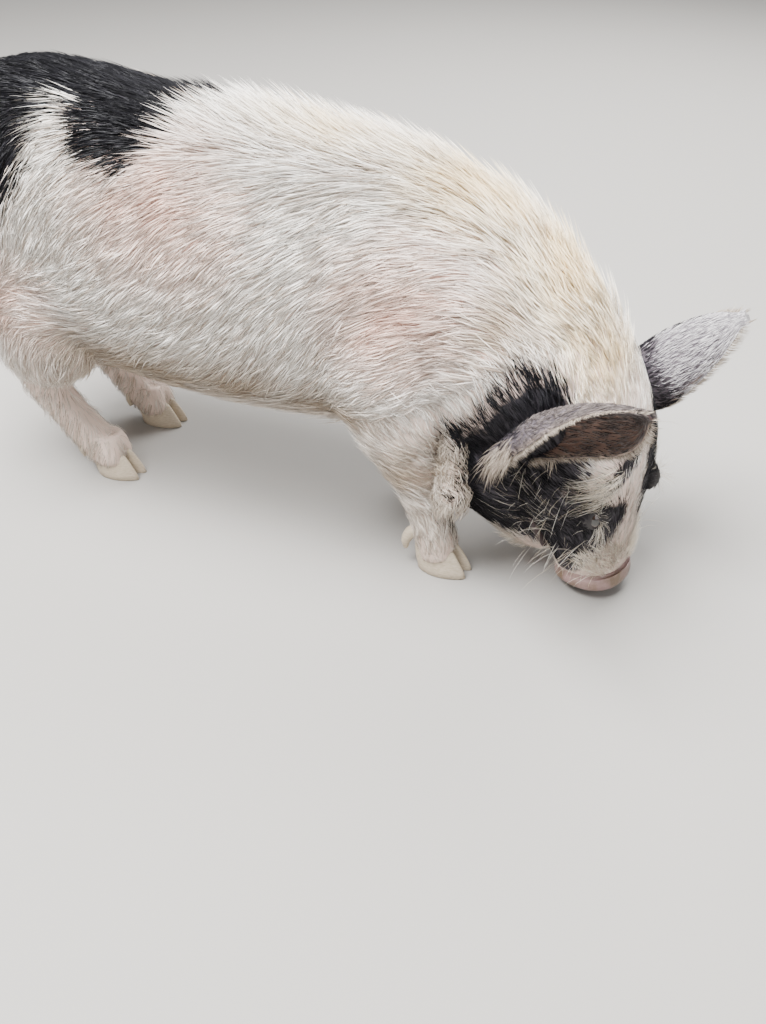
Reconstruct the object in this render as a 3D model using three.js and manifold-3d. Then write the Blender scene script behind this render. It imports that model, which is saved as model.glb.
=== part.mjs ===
// A young kunekune pig, life size, standing with its head down to feed.
// Millimetres, +Z up. The trunk runs along X with the head at +X, and +Y is the pig's left.
// The flesh is modelled whole from lofts, then parted into its nodes by thin cuts.
import * as THREE from "three";
import { LoftGeometry } from "three/addons/geometries/LoftGeometry.js";
import { mergeVertices } from "three/addons/utils/BufferGeometryUtils.js";
import Module from "manifold-3d";

const wasm = await Module();
wasm.setup();

// Driving sizes
const GAP = 0.3; // between neighbouring nodes
const BACK_TOP = 388; // top of the back at mid trunk
const RUMP_TOP = 421; // highest point, over the hips
const BELLY = 118; // clearance under the belly
const TRUNK_HALF_WIDTH = 122;
const EAR_TIP = 0.11; // width left at the tip of an ear, as a share
const EAR_THICKNESS = 3.4;
const EAR_ARCH = 14; // how far the back of an ear bows out along its length
const EYE_RADIUS = 10;
const LID_WIDTH = 22;
const LID_HEIGHT = 13;
const LID_RISE = 6.5; // from the eye's middle out to its lids
const HEAD_YAW = -21; // the head turns to the pig's right
const HEAD_PITCH = -88; // and hangs nearly straight down
const POLL = new THREE.Vector3(366, -38, 243); // top of the head between the ears
const SNOUT_REACH = 221; // from the poll to the snout disc
const DISC_THICKNESS = 11;
const HOOF_HEIGHT = 27;
const WATTLE_LENGTH = 58;
const COAT_DEPTH = 9; // from the flesh under the coat to where its tips lie on the trunk
const LOCK_LENGTH = 108;
const LOCK_WIDTH = 43;
const LOCK_THICKNESS = 6.5;
const LOCK_SINK = 5; // how deep a lock's root lies under the flesh
const SEED = 20263;

const v3 = (x, y, z) => new THREE.Vector3(x, y, z);
const deg = THREE.MathUtils.degToRad;

// Solids
function solid(geometry) {
  const bare = new THREE.BufferGeometry();
  bare.setAttribute("position", geometry.getAttribute("position"));
  bare.setIndex(geometry.getIndex());
  const merged = mergeVertices(bare, 1e-3);
  return new wasm.Manifold(new wasm.Mesh({
    numProp: 3,
    vertProperties: merged.attributes.position.array,
    triVerts: new Uint32Array(merged.index.array),
  }));
}

const unite = (...list) => list.flat().reduce((all, next) => all.add(next));

function largest(shape) {
  return shape.decompose().sort((a, b) => b.volume() - a.volume())[0];
}

// A smooth tube of flesh through stations [x, y, z, half width, height above, height below].
class Flesh {
  constructor(stations, { up = v3(0, 0, 1), power = 2.2 } = {}) {
    this.centre = new THREE.CatmullRomCurve3(stations.map((s) => v3(s[0], s[1], s[2])));
    this.size = new THREE.CatmullRomCurve3(stations.map((s) => v3(s[3], s[4], s[5])));
    this.up = up;
    this.power = power;
    this.count = stations.length;
  }

  frame(t) {
    const along = this.centre.getTangent(t);
    const side = this.up.clone().cross(along).normalize();
    return { origin: this.centre.getPoint(t), along, side, up: along.clone().cross(side) };
  }

  // Angle 0 is the pig's left, 90 degrees is up.
  point(t, angle, grow = 0) {
    const f = this.frame(t);
    const size = this.size.getPoint(t);
    const c = Math.cos(angle);
    const s = Math.sin(angle);
    const e = 2 / this.power;
    const across = Math.sign(c) * Math.abs(c) ** e * (size.x + grow);
    const rise = Math.sign(s) * Math.abs(s) ** e * ((s > 0 ? size.y : size.z) + grow);
    return f.origin.addScaledVector(f.side, across).addScaledVector(f.up, rise);
  }

  normal(t, angle) {
    const step = 1e-3;
    const along = this.point(Math.min(1, t + step), angle).sub(this.point(Math.max(0, t - step), angle));
    const around = this.point(t, angle + step).sub(this.point(t, angle - step));
    return around.cross(along).normalize();
  }

  // Whether a point lies inside the flesh, by more than a depth
  holds(p, depth = 0) {
    let best = Infinity;
    let near = 0;
    for (let i = 0; i <= 40; i += 1) {
      const d = this.centre.getPoint(i / 40).distanceToSquared(p);
      if (d < best) {
        best = d;
        near = i / 40;
      }
    }
    const f = this.frame(near);
    const size = this.size.getPoint(near);
    const off = p.clone().sub(f.origin);
    if (Math.abs(off.dot(f.along)) > 30) return false;
    const rise = off.dot(f.up);
    const x = Math.abs(off.dot(f.side)) / Math.max(1, size.x - depth);
    const z = Math.abs(rise) / Math.max(1, (rise > 0 ? size.y : size.z) - depth);
    return x ** this.power + z ** this.power < 1;
  }

  // The place reached by a step over the surface, as [t, angle]
  step(t, angle, move) {
    const h = 2e-3;
    const here = this.point(t, angle);
    const pt = this.point(Math.min(1, t + h), angle).sub(here).divideScalar(h);
    const pa = this.point(t, angle + h).sub(here).divideScalar(h);
    const tt = pt.dot(pt);
    const ta = pt.dot(pa);
    const aa = pa.dot(pa);
    const mt = pt.dot(move);
    const ma = pa.dot(move);
    const det = Math.max(1e-6, tt * aa - ta * ta);
    return [
      THREE.MathUtils.clamp(t + (mt * aa - ma * ta) / det, 0.002, 0.99),
      angle + (ma * tt - mt * ta) / det,
    ];
  }

  solid(rows, columns, grow = 0) {
    const sections = [];
    for (let i = 0; i <= rows; i += 1) {
      const section = [];
      for (let j = 0; j < columns; j += 1) {
        section.push(this.point(i / rows, (2 * Math.PI * (j + 0.5)) / columns, grow));
      }
      sections.push(section);
    }
    return solid(new LoftGeometry(sections, { capStart: true, capEnd: true }));
  }
}

function ball(centre, rx, ry, rz, turn = new THREE.Quaternion(), wide = 10, high = 7) {
  const g = new THREE.SphereGeometry(1, wide, high);
  g.scale(rx, ry, rz).applyQuaternion(turn).translate(centre.x, centre.y, centre.z);
  return solid(g);
}

function block(centre, sx, sy, sz, turn = new THREE.Quaternion()) {
  const g = new THREE.BoxGeometry(sx, sy, sz);
  g.applyQuaternion(turn).translate(centre.x, centre.y, centre.z);
  return solid(g);
}

// Everything on the side of a plane that its normal points to, as a large block.
function beyond(point, normal, shift = 0, reach = 400) {
  const n = normal.clone().normalize();
  const turn = new THREE.Quaternion().setFromUnitVectors(v3(0, 0, 1), n);
  return block(point.clone().addScaledVector(n, reach + shift), 2 * reach, 2 * reach, 2 * reach, turn);
}

// A repeatable source of chance
let chance = SEED;
function random(low = 0, high = 1) {
  chance = (chance * 1664525 + 1013904223) % 4294967296;
  return low + (high - low) * (chance / 4294967296);
}

// One lock: a flat blade through centre points, each with the normal of the flesh below it
function blade(points, normals, width, thickness) {
  const shape = [[0.5, 0.9], [1, 1], [0.8, 0.75], [0.04, 0.1]];
  const sections = points.map((p, i) => {
    const before = points[Math.max(0, i - 1)];
    const after = points[Math.min(points.length - 1, i + 1)];
    const along = after.clone().sub(before).normalize();
    const across = normals[i].clone().cross(along).normalize();
    const out = along.clone().cross(across);
    const [w, h] = shape[i];
    const corner = (a, b) => p.clone().addScaledVector(across, a * w * width / 2)
      .addScaledVector(out, b * h * thickness / 2);
    return [corner(1, -0.2), corner(0, 1), corner(-1, -0.2), corner(0, -0.8)];
  });
  return solid(new LoftGeometry(sections, { capStart: true, capEnd: true }));
}

// The way of a lock over the flesh, cut shorter where it would run off the end
function wayOver(flesh, t, angle, lie, length, spans) {
  const bend = random(-0.35, 0.35);
  for (const share of [1, 0.75, 0.5]) {
    const way = [];
    let at = [t, angle];
    for (let i = 0; i <= spans; i += 1) {
      const p = flesh.point(...at);
      const n = flesh.normal(...at);
      way.push({ p, n, t: at[0] });
      const u = (i / spans) ** 1.15;
      const along = lie(p, n);
      along.addScaledVector(n, -along.dot(n)).normalize().applyAxisAngle(n, bend * (u - 0.3));
      at = flesh.step(...at, along.multiplyScalar((share * length) / spans));
    }
    if (way.every((place) => place.t > 0.02 && place.t < 0.97)) return way;
  }
  return null;
}

// A lock that starts at a place on the flesh and follows its lie, rising from root to tip
function lockOn(flesh, t, angle, lie, { length, width, thickness, lift, spans = 3 }) {
  const way = wayOver(flesh, t, angle, lie, length, spans);
  if (!way) return [];
  const points = way.map(({ p, n }, i) => {
    const u = (i / spans) ** 1.15;
    return p.clone().addScaledVector(n, -LOCK_SINK + (lift + LOCK_SINK) * u ** 0.5);
  });
  return [blade(points, way.map(({ n }) => n), width, thickness)];
}

// Trunk and neck, whose stations are given over the coat and drawn in to the flesh under it
const underCoat = (stations) => stations
  .map(([x, y, z, half, above, below]) => [x, y, z, ...[half, above, below].map((r) => r - COAT_DEPTH)]);

const trunk = new Flesh(underCoat([
  [-345, 4, 322, 22, 26, 34],
  [-336, 4, 316, 56, 66, 80],
  [-310, 3, 305, 88, 108, 114],
  [-262, 0, 292, 110, RUMP_TOP - 292, 136],
  [-180, 0, 272, 119, 139, 140],
  [-90, 0, 260, 123, 137, 138],
  [-10, 0, 252, TRUNK_HALF_WIDTH, BACK_TOP - 252, 252 - BELLY],
  [60, 0, 250, 117, 130, 130],
  [120, -1, 247, 107, 128, 126],
  [170, -3, 240, 92, 122, 120],
  [205, -6, 228, 72, 92, 96],
  [222, -8, 222, 42, 54, 58],
]), { power: 2.2 });

const neck = new Flesh(underCoat([
  [130, -2, 252, 96, 120, 120],
  [180, -6, 242, 93, 115, 122],
  [225, -14, 222, 86, 101, 124],
  [258, -22, 202, 76, 92, 118],
  [282, -29, 178, 62, 76, 100],
  [296, -34, 154, 44, 54, 68],
]), { up: v3(1, -0.3, 1).normalize(), power: 2.2 });

// Head, in its own frame: F runs from the poll to the snout, U out of the forehead, S to the left
const heading = v3(Math.cos(deg(HEAD_YAW)), Math.sin(deg(HEAD_YAW)), 0);
const F = heading.clone().multiplyScalar(Math.cos(deg(HEAD_PITCH)))
  .add(v3(0, 0, Math.sin(deg(HEAD_PITCH))));
const S = v3(0, 0, 1).cross(heading).normalize();
const U = F.clone().cross(S).normalize();
const headTurn = new THREE.Quaternion().setFromRotationMatrix(new THREE.Matrix4().makeBasis(F, S, U));
const onHead = (f, s, u) => POLL.clone().addScaledVector(F, f).addScaledVector(S, s).addScaledVector(U, u);
const headStation = (f, u, half, above, below) => [...onHead(f, 0, u).toArray(), half, above, below];

const skull = new Flesh([
  headStation(-26, -108, 34, 22, 42),
  headStation(-12, -104, 46, 36, 58),
  headStation(12, -94, 53, 50, 66),
  headStation(48, -80, 58, 62, 78),
  headStation(90, -68, 67, 63, 86),
  headStation(130, -60, 66, 57, 78),
  headStation(160, -54, 53, 47, 56),
  headStation(190, -49, 42, 40, 40),
  headStation(214, -46, 37, 37, 33),
  headStation(SNOUT_REACH, -45, 35, 36, 31),
], { up: U, power: 2.25 });

const jaw = new Flesh([
  headStation(26, -112, 63, 32, 50),
  headStation(72, -120, 83, 42, 64),
  headStation(118, -121, 89, 45, 74),
  headStation(154, -113, 75, 42, 69),
  headStation(183, -101, 54, 31, 51),
  headStation(204, -89, 40, 20, 35),
  headStation(216, -83, 27, 12, 19),
], { up: U, power: 2.2 });

// Legs: shoulder or hip, elbow or stifle, wrist or hock, fetlock
function leg(points) {
  return new Flesh(points, { up: v3(1, 0, 0), power: 2.1 });
}

const LEGS = {
  hind_leg_right: { side: -1, hind: true, foot: v3(-186, -48, 0), turn: 0 },
  hind_leg_left: { side: 1, hind: true, foot: v3(-198, 60, 0), turn: 2 },
  foreleg_right: { side: -1, hind: false, foot: v3(196, -66, 0), turn: -6 },
  foreleg_left: { side: 1, hind: false, foot: v3(160, 60, 0), turn: 4 },
};

function hindLeg({ side, foot }) {
  const x = foot.x;
  const y = foot.y;
  return leg([
    [x - 60, side * 60, 300, 34, 66, 70],
    [x - 44, side * 68, 240, 44, 76, 74],
    [x - 32, side * 68, 190, 42, 62, 64],
    [x - 50, side * 64, 150, 33, 42, 46],
    [x - 71, y, 120, 23, 26, 31],
    [x - 73, y, 99, 18, 22, 25],
    [x - 52, y, 68, 16, 18, 19],
    [x - 26, y, 40, 17, 19, 19],
    [x - 10, y, 23, 18, 18, 15],
  ]);
}

function foreLeg({ side, foot }) {
  const x = foot.x;
  const y = foot.y;
  return leg([
    [130, side * 62, 275, 30, 52, 56],
    [132, side * 72, 225, 38, 56, 58],
    [(x + 3 * 134) / 4, side * 70, 175, 36, 46, 48],
    [(x + 134) / 2 - 4, side * 68, 135, 29, 30, 34],
    [x - 20, y, 96, 22, 22, 22],
    [x - 16, y, 80, 19, 20, 20],
    [x - 12, y, 56, 16.5, 16, 17],
    [x - 8, y, 36, 17.5, 17, 17],
    [x - 4, y, 22, 18, 18, 14],
  ]);
}

// One claw: a blunt wedge with a flat sole, its inner wall straight along the cleft
function clawSolid(foot, side, turn) {
  const length = 47;
  const outer = 18.5;
  const inner = 1.4;
  const rings = [
    [0, 1, 0],
    [HOOF_HEIGHT * 0.5, 0.95, -4],
    [HOOF_HEIGHT, 0.8, -9],
  ];
  const yaw = new THREE.Quaternion().setFromAxisAngle(v3(0, 0, 1), deg(turn));
  const sections = rings.map(([z, scale, shift]) => {
    const section = [];
    for (let j = 0; j < 12; j += 1) {
      const a = (2 * Math.PI * (j + 0.5)) / 12;
      const x = shift + (Math.cos(a) > 0 ? 0.62 : 0.42) * length * scale * Math.cos(a);
      const reach = inner + (outer - inner) * scale * (1 - 0.32 * Math.max(0, Math.cos(a)) ** 2);
      const across = (inner + reach) / 2 + ((reach - inner) / 2) * Math.sin(a);
      section.push(v3(x, side * across, z));
    }
    if (side < 0) section.reverse();
    return section.map((p) => p.applyQuaternion(yaw).add(foot));
  });
  return solid(new LoftGeometry(sections, { capStart: true, capEnd: true }));
}

function digit({ foot, turn }, side) {
  const yaw = new THREE.Quaternion().setFromAxisAngle(v3(0, 0, 1), deg(turn));
  const at = (x, y, z) => v3(x, side * y, z).applyQuaternion(yaw).add(foot).toArray();
  return new Flesh([
    [...at(-9, 5, 46), 9, 13, 13],
    [...at(-6, 8, 34), 10, 15, 14],
    [...at(-4, 9.5, 22), 9.2, 15, 13],
    [...at(-2, 9.5, 12), 7, 13, 11],
  ], { up: v3(1, 0, 0), power: 2.1 });
}

function dewclaw({ foot, turn }, side, grow) {
  const yaw = new THREE.Quaternion().setFromAxisAngle(v3(0, 0, 1), deg(turn));
  const at = (x, y, z) => v3(x, side * y, z).applyQuaternion(yaw).add(foot).toArray();
  return new Flesh([
    [...at(-20, 10, 46), 4 + grow, 4 + grow, 4 + grow],
    [...at(-28, 11, 40), 6 + grow, 6 + grow, 6 + grow],
    [...at(-33, 12, 30), 5.5 + grow, 5 + grow, 4.5 + grow],
    [...at(-33, 12, 20), 2.5, 2.2, 2],
  ], { up: v3(1, 0, 0), power: 2.1 }).solid(3, 6);
}

// Ears: a cupped leaf that rises from a folded base
const EARS = {
  right: {
    side: -1, root: [70, -65, -101], tip: [-24, -100, 46], opening: 18, twist: 44,
    width: 92, shoulder: 0.55, taper: 2,
  },
  left: {
    side: 1, root: [70, 66, -84], tip: [-12, 101, 13], opening: 34, twist: 24,
    width: 118, shoulder: 0.3, taper: 1.45,
  },
};

// The opening faces the snout at the base and turns outwards towards the tip
function earFrame({ side, root, tip, opening, twist }, t = 0) {
  const start = onHead(...root);
  const end = onHead(...tip);
  const along = end.clone().sub(start).normalize();
  const lateral = S.clone().multiplyScalar(side);
  lateral.addScaledVector(along, -lateral.dot(along)).normalize();
  const down = F.clone().addScaledVector(along, -F.dot(along));
  down.addScaledVector(lateral, -down.dot(lateral)).normalize();
  const turn = deg(opening + twist * t);
  const open = down.multiplyScalar(Math.cos(turn)).addScaledVector(lateral, Math.sin(turn));
  const across = along.clone().cross(open).normalize();
  return { start, end, along, open, across };
}

function earWidth(ear, t) {
  const spread = 0.76 + 0.28 * THREE.MathUtils.smoothstep(t, 0, 0.4);
  const taper = 1 - Math.max(0, (t - ear.shoulder) / (1 - ear.shoulder)) ** ear.taper;
  return ear.width * spread * Math.max(EAR_TIP, taper ** 0.85);
}

function earSolid(ear, grow = 0) {
  const rows = 9;
  const columns = 6;
  const sections = [];
  for (let i = 0; i <= rows; i += 1) {
    const t = i / rows;
    const { start, end, along, open, across } = earFrame(ear, t);
    const length = end.distanceTo(start);
    const width = earWidth(ear, t);
    const curl = 2.15 - 1.25 * t ** 1.6;
    const rim = grow / Math.max(1, width / (2 * curl));
    const radius = width / (2 * curl);
    const thick = EAR_THICKNESS + 7 * (1 - Math.min(1, t * 4));
    const middle = start.clone().addScaledVector(along, -12 + (length + 12) * t + (i === rows ? grow : 0))
      .addScaledVector(open, -EAR_ARCH * Math.sin(Math.PI * t) + 4);
    const outer = [];
    const inner = [];
    for (let j = 0; j <= columns; j += 1) {
      const a = (curl + rim) * (2 * (j / columns) - 1);
      const edge = 1 - 0.6 * Math.abs(2 * (j / columns) - 1) ** 3;
      const at = (r) => middle.clone()
        .addScaledVector(open, radius - r * Math.cos(a))
        .addScaledVector(across, r * Math.sin(a));
      outer.push(at(radius + grow));
      inner.unshift(at(Math.max(1, radius - thick * edge) - grow));
    }
    sections.push([...outer, ...inner].reverse());
  }
  return solid(new LoftGeometry(sections, { capStart: true, capEnd: true }));
}

// Wattles hang below the angle of the jaw
const WATTLES = { wattle_right: v3(206, -76, 150), wattle_left: v3(226, 50, 150) };

function wattle(root) {
  const out = root.y < 0 ? v3(4, -12, 0) : v3(4, 10, 0);
  const at = (t, lift) => root.clone().addScaledVector(out, t).add(v3(0, 0, lift)).toArray();
  return new Flesh([
    [...at(0, 12), 8, 8, 8],
    [...at(0.1, 0), 9.5, 9, 9],
    [...at(0.2, -9), 8, 7.5, 7.5],
    [...at(0.4, -18), 11, 10, 10],
    [...at(0.6, -27), 10.5, 9.5, 9.5],
    [...at(0.8, -38), 14, 13, 13],
    [...at(1, -50), 12, 11, 11],
    [...at(1, -WATTLE_LENGTH), 4, 4, 4],
  ], { up: v3(1, 0, 0), power: 2 });
}

const tail = new Flesh([
  [-322, 3, 368, 15, 14, 14],
  [-342, 3, 364, 13, 12, 13],
  [-356, 4, 346, 10.5, 10, 10.5],
  [-363, 6, 316, 8.5, 8, 8.5],
  [-363, 9, 286, 8, 8, 8],
  [-358, 12, 256, 9, 8, 9],
  [-355, 14, 222, 4, 4, 4],
], { up: v3(1, 0, 0), power: 2 });

// Assembly
const parts = [];

function put(name, shape, color, roughness = 0.8) {
  parts.push({ name, shape: largest(shape), color, roughness });
}

function geometryOf(shape) {
  const got = shape.getMesh();
  const g = new THREE.BufferGeometry();
  g.setAttribute("position", new THREE.BufferAttribute(new Float32Array(got.vertProperties), 3));
  g.setIndex(new THREE.BufferAttribute(new Uint32Array(got.triVerts), 1));
  return g;
}

// The trunk, neck and head are one surface before they are parted
let whole = unite(trunk.solid(18, 22), neck.solid(10, 20), skull.solid(13, 18), jaw.solid(7, 14));

// The coat's lie: back along the spine, then down the sides and over the rump
function bodyLie(p) {
  const back = THREE.MathUtils.smoothstep(-p.x, 60, 320);
  return v3(-1 + 0.75 * back, 0.02, -0.34 - 1.3 * back);
}
const neckLie = (p) => v3(-1, 0, 0.1 - 0.5 * THREE.MathUtils.smoothstep(p.x, 180, 280));

const limbs = Object.values(LEGS).map((spec) => (spec.hind ? hindLeg(spec) : foreLeg(spec)));
const others = (self) => [trunk, neck, skull, jaw, ...limbs].filter((flesh) => flesh !== self);
const buried = (self, p) => others(self).some((flesh) => flesh.holds(p, 6));

// Rows of locks round a stretch of flesh, each row set half a lock aside from the last
function coatRows(flesh, { from, to, rows, low, high, across, lie, size }) {
  const found = [];
  for (let i = 0; i < rows; i += 1) {
    const t = from + ((to - from) * i) / (rows - 1);
    for (let j = 0; j < across; j += 1) {
      const share = (j + 0.5 * (i % 2) + random(-0.22, 0.22)) / across;
      const angle = deg(low + (high - low) * share);
      const place = THREE.MathUtils.clamp(t + random(-0.012, 0.012), 0.01, 0.98);
      const scale = random(0.82, 1.2);
      if (buried(flesh, flesh.point(place, angle))) continue;
      found.push(...lockOn(flesh, place, angle, lie, {
        length: LOCK_LENGTH * scale,
        width: LOCK_WIDTH * random(0.8, 1.15),
        thickness: LOCK_THICKNESS,
        lift: COAT_DEPTH * random(0.75, 1.1),
        ...size,
      }));
    }
  }
  return found;
}

const hindLie = (p) => v3(-0.55 - 0.3 * THREE.MathUtils.smoothstep(p.z, 150, 260), 0, -1);
const cheekLie = () => F.clone().multiplyScalar(-0.75).addScaledVector(U, -0.65);
const crestLie = () => v3(-1, 0, 0.25);
const bristles = { length: 54, width: 26, thickness: 5, lift: 17 };
const coat = [
  ...coatRows(trunk, { from: 0.07, to: 0.93, rows: 8, low: -30, high: 210, across: 9, lie: bodyLie }),
  ...coatRows(neck, { from: 0.3, to: 0.72, rows: 3, low: -30, high: 210, across: 6, lie: neckLie }),
  ...coatRows(trunk, { from: 0.5, to: 0.96, rows: 6, low: 76, high: 104, across: 2, lie: crestLie, size: bristles }),
  ...coatRows(neck, { from: 0.2, to: 0.9, rows: 4, low: 70, high: 110, across: 2, lie: crestLie, size: bristles }),
  ...coatRows(limbs[0], { from: 0.06, to: 0.2, rows: 2, low: 120, high: 240, across: 3, lie: hindLie }),
  ...coatRows(limbs[1], { from: 0.06, to: 0.2, rows: 2, low: -60, high: 60, across: 3, lie: hindLie }),
  ...[[140, 250], [-70, 40]].flatMap(([low, high]) => coatRows(jaw, {
    from: 0.14, to: 0.62, rows: 3, low, high, across: 2, lie: cheekLie, size: { length: 50, width: 30, lift: 7 },
  })),
];

whole = unite(whole, coat);

// Legs: the part above a plane through the armpit or groin stays with the trunk
for (const [name, spec] of Object.entries(LEGS)) {
  const flesh = spec.hind ? hindLeg(spec) : foreLeg(spec);
  const hip = v3(spec.hind ? spec.foot.x + 10 : 132, spec.side * 70, spec.hind ? 178 : 168);
  const down = v3(0, spec.side * 0.5, -0.85).normalize();
  let limb = flesh.solid(12, 10);
  whole = whole.add(limb.subtract(beyond(hip, down)));
  whole = whole.subtract(flesh.solid(12, 10, GAP).intersect(beyond(hip, down, -GAP)));
  limb = limb.intersect(beyond(hip, down));
  for (const s of [-1, 1]) {
    limb = limb.add(digit(spec, s).solid(3, 8));
  }
  limb = limb.intersect(beyond(v3(0, 0, HOOF_HEIGHT), v3(0, 0, 1), GAP));
  for (const s of [-1, 1]) {
    const place = s < 0 ? "right" : "left";
    limb = limb.subtract(dewclaw(spec, s, GAP));
    put(`${name}_claw_${place}`, clawSolid(spec.foot, s, spec.turn), 0xcbb79d, 0.6);
    put(`${name}_dewclaw_${place}`, dewclaw(spec, s, 0), 0xcbb79d, 0.6);
  }
  put(name, limb, 0xd9c7b6);
}

// Tail
const tailCut = v3(-346, 3, 360);
const tailNormal = v3(-0.9, 0, -0.45);
const tailFlesh = tail.solid(11, 9);
whole = whole.add(tailFlesh.subtract(beyond(tailCut, tailNormal)));
whole = whole.subtract(tail.solid(11, 9, GAP).intersect(beyond(tailCut, tailNormal, -GAP)));
put("tail", tailFlesh.intersect(beyond(tailCut, tailNormal)), 0xd8c8ba);

// Wattles
for (const [name, root] of Object.entries(WATTLES)) {
  const down = v3(0, 0, -1);
  const lobe = wattle(root).solid(10, 8);
  whole = whole.add(lobe.subtract(beyond(root, down)));
  whole = whole.subtract(wattle(root).solid(10, 8, GAP).intersect(beyond(root, down, -GAP)));
  put(name, lobe.intersect(beyond(root, down)), 0xb8a591);
}

// Ears
for (const [place, ear] of Object.entries(EARS)) {
  const { start, along } = earFrame(ear);
  const cut = start.clone().addScaledVector(along, 12);
  const shape = earSolid(ear);
  whole = whole.add(shape.subtract(beyond(cut, along)));
  whole = whole.subtract(earSolid(ear, 1.6 * GAP).intersect(beyond(cut, along, -GAP)));
  put(`ear_${place}`, shape.intersect(beyond(cut, along)), 0x8a8087);
}

// Eyes, each in a socket with a ring of lids round an almond opening
const EYES = { eye_right: [135, -43, -21], eye_left: [135, 43, -21] };
for (const [name, at] of Object.entries(EYES)) {
  const out = S.clone().multiplyScalar(Math.sign(at[1])).addScaledVector(U, 0.75).normalize();
  const corner = F.clone().addScaledVector(out, -F.dot(out)).normalize();
  const turn = new THREE.Quaternion().setFromRotationMatrix(
    new THREE.Matrix4().makeBasis(corner, out.clone().cross(corner), out));
  const ring = new THREE.TorusGeometry(1, 0.34, 4, 10);
  const middle = onHead(...at).addScaledVector(out, LID_RISE);
  ring.scale(LID_WIDTH / 2, LID_HEIGHT / 2, 10).applyQuaternion(turn).translate(...middle.toArray());
  whole = whole.add(solid(ring));
  const socket = EYE_RADIUS + GAP;
  whole = whole.subtract(ball(onHead(...at), socket, socket, socket));
  put(name, ball(onHead(...at), EYE_RADIUS, EYE_RADIUS, EYE_RADIUS), 0x1c1410, 0.15);
}

// Mouth: a lip along each side and round the front, parted by a shallow line
const lipPath = (side) => [[150, 49, -87], [170, 44, -85], [188, 36.5, -82], [205, 27, -79]]
  .map(([f, half, u]) => [...onHead(f, side * half, u).toArray(), 4, 4, 4]);
for (const side of [-1, 1]) {
  whole = whole.add(new Flesh(lipPath(side), { up: U, power: 2 }).solid(5, 6));
}
const mouthTurn = headTurn.clone().multiply(new THREE.Quaternion().setFromAxisAngle(v3(0, 1, 0), deg(-9)));
const mouthLine = block(onHead(187, 0, -81.5), 74, 120, 1.6, mouthTurn)
  .subtract(unite(skull.solid(9, 14, -4), jaw.solid(6, 12, -4)));
whole = whole.subtract(mouthLine);

// Snout disc, parted by a plane square to the muzzle
const disc = new Flesh([
  headStation(SNOUT_REACH - 12, -44, 35, 35, 30),
  headStation(SNOUT_REACH, -44, 35, 35, 30),
  headStation(SNOUT_REACH + 5, -43, 37, 36, 31),
  headStation(SNOUT_REACH + DISC_THICKNESS, -43, 35, 34, 29),
], { up: U, power: 2.2 }).solid(4, 18);
let snout = disc.intersect(beyond(onHead(SNOUT_REACH, 0, 0), F, GAP));
for (const s of [-1, 1]) {
  const nostril = onHead(SNOUT_REACH + DISC_THICKNESS, s * 13, -42);
  snout = snout.subtract(ball(nostril, 8, 5, 8, headTurn));
}
whole = whole.subtract(beyond(onHead(SNOUT_REACH, 0, 0), F));
put("snout", snout, 0xb98a84, 0.5);

// The head is parted from the neck across the throat, the neck from the trunk ahead of the shoulder
const headCut = onHead(-8, 0, -60);
const headNormal = F.clone().addScaledVector(U, 0.55).normalize();
const neckCut = v3(190, -4, 262);
const neckNormal = v3(0.95, -0.05, 0.22).normalize();
const jowlCut = v3(200, 0, 118);
const jowlNormal = v3(0.6, 0, -0.8);
const ahead = (gap) => beyond(neckCut, neckNormal, gap).add(beyond(jowlCut, jowlNormal, gap));
const front = whole.intersect(ahead(0));
put("torso", whole.subtract(ahead(-GAP)), 0xe6dccf);
put("neck", front.subtract(beyond(headCut, headNormal, -GAP)), 0xe4d8c8);
put("head", front.intersect(beyond(headCut, headNormal)), 0x3a3738);

// The origin lies under the middle of the box, on the floor
const group = new THREE.Group();
const box = new THREE.Box3();
for (const { shape } of parts) {
  const { min, max } = shape.boundingBox();
  box.expandByPoint(v3(...min)).expandByPoint(v3(...max));
}
const middle = box.getCenter(v3(0, 0, 0));
for (const { name, shape, color, roughness } of parts) {
  const placed = geometryOf(shape).translate(-middle.x, -middle.y, -box.min.z);
  const g = geometryOf(largest(solid(placed)));
  g.computeVertexNormals();
  const mesh = new THREE.Mesh(g, new THREE.MeshStandardMaterial({ color, roughness, metalness: 0 }));
  mesh.name = name;
  group.add(mesh);
}

export default group;
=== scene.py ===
"""A young kunekune pig, life size, that stands with its head down to feed.

The skin, ears, snout, eyes and claws are built over the solids of the frame, and the bristly coat is
made of thin closed tufts that follow its lie. Sizes are in millimetres on the pig's own axes until
they are placed: X from tail to head, Y to the pig's left, Z up, floor at zero.
"""

import math

import bmesh
import bpy
import numpy as np
from bpy.props import FloatProperty, FloatVectorProperty, IntProperty, PointerProperty
from mathutils import Matrix, Vector
from mathutils.bvhtree import BVHTree


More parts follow.
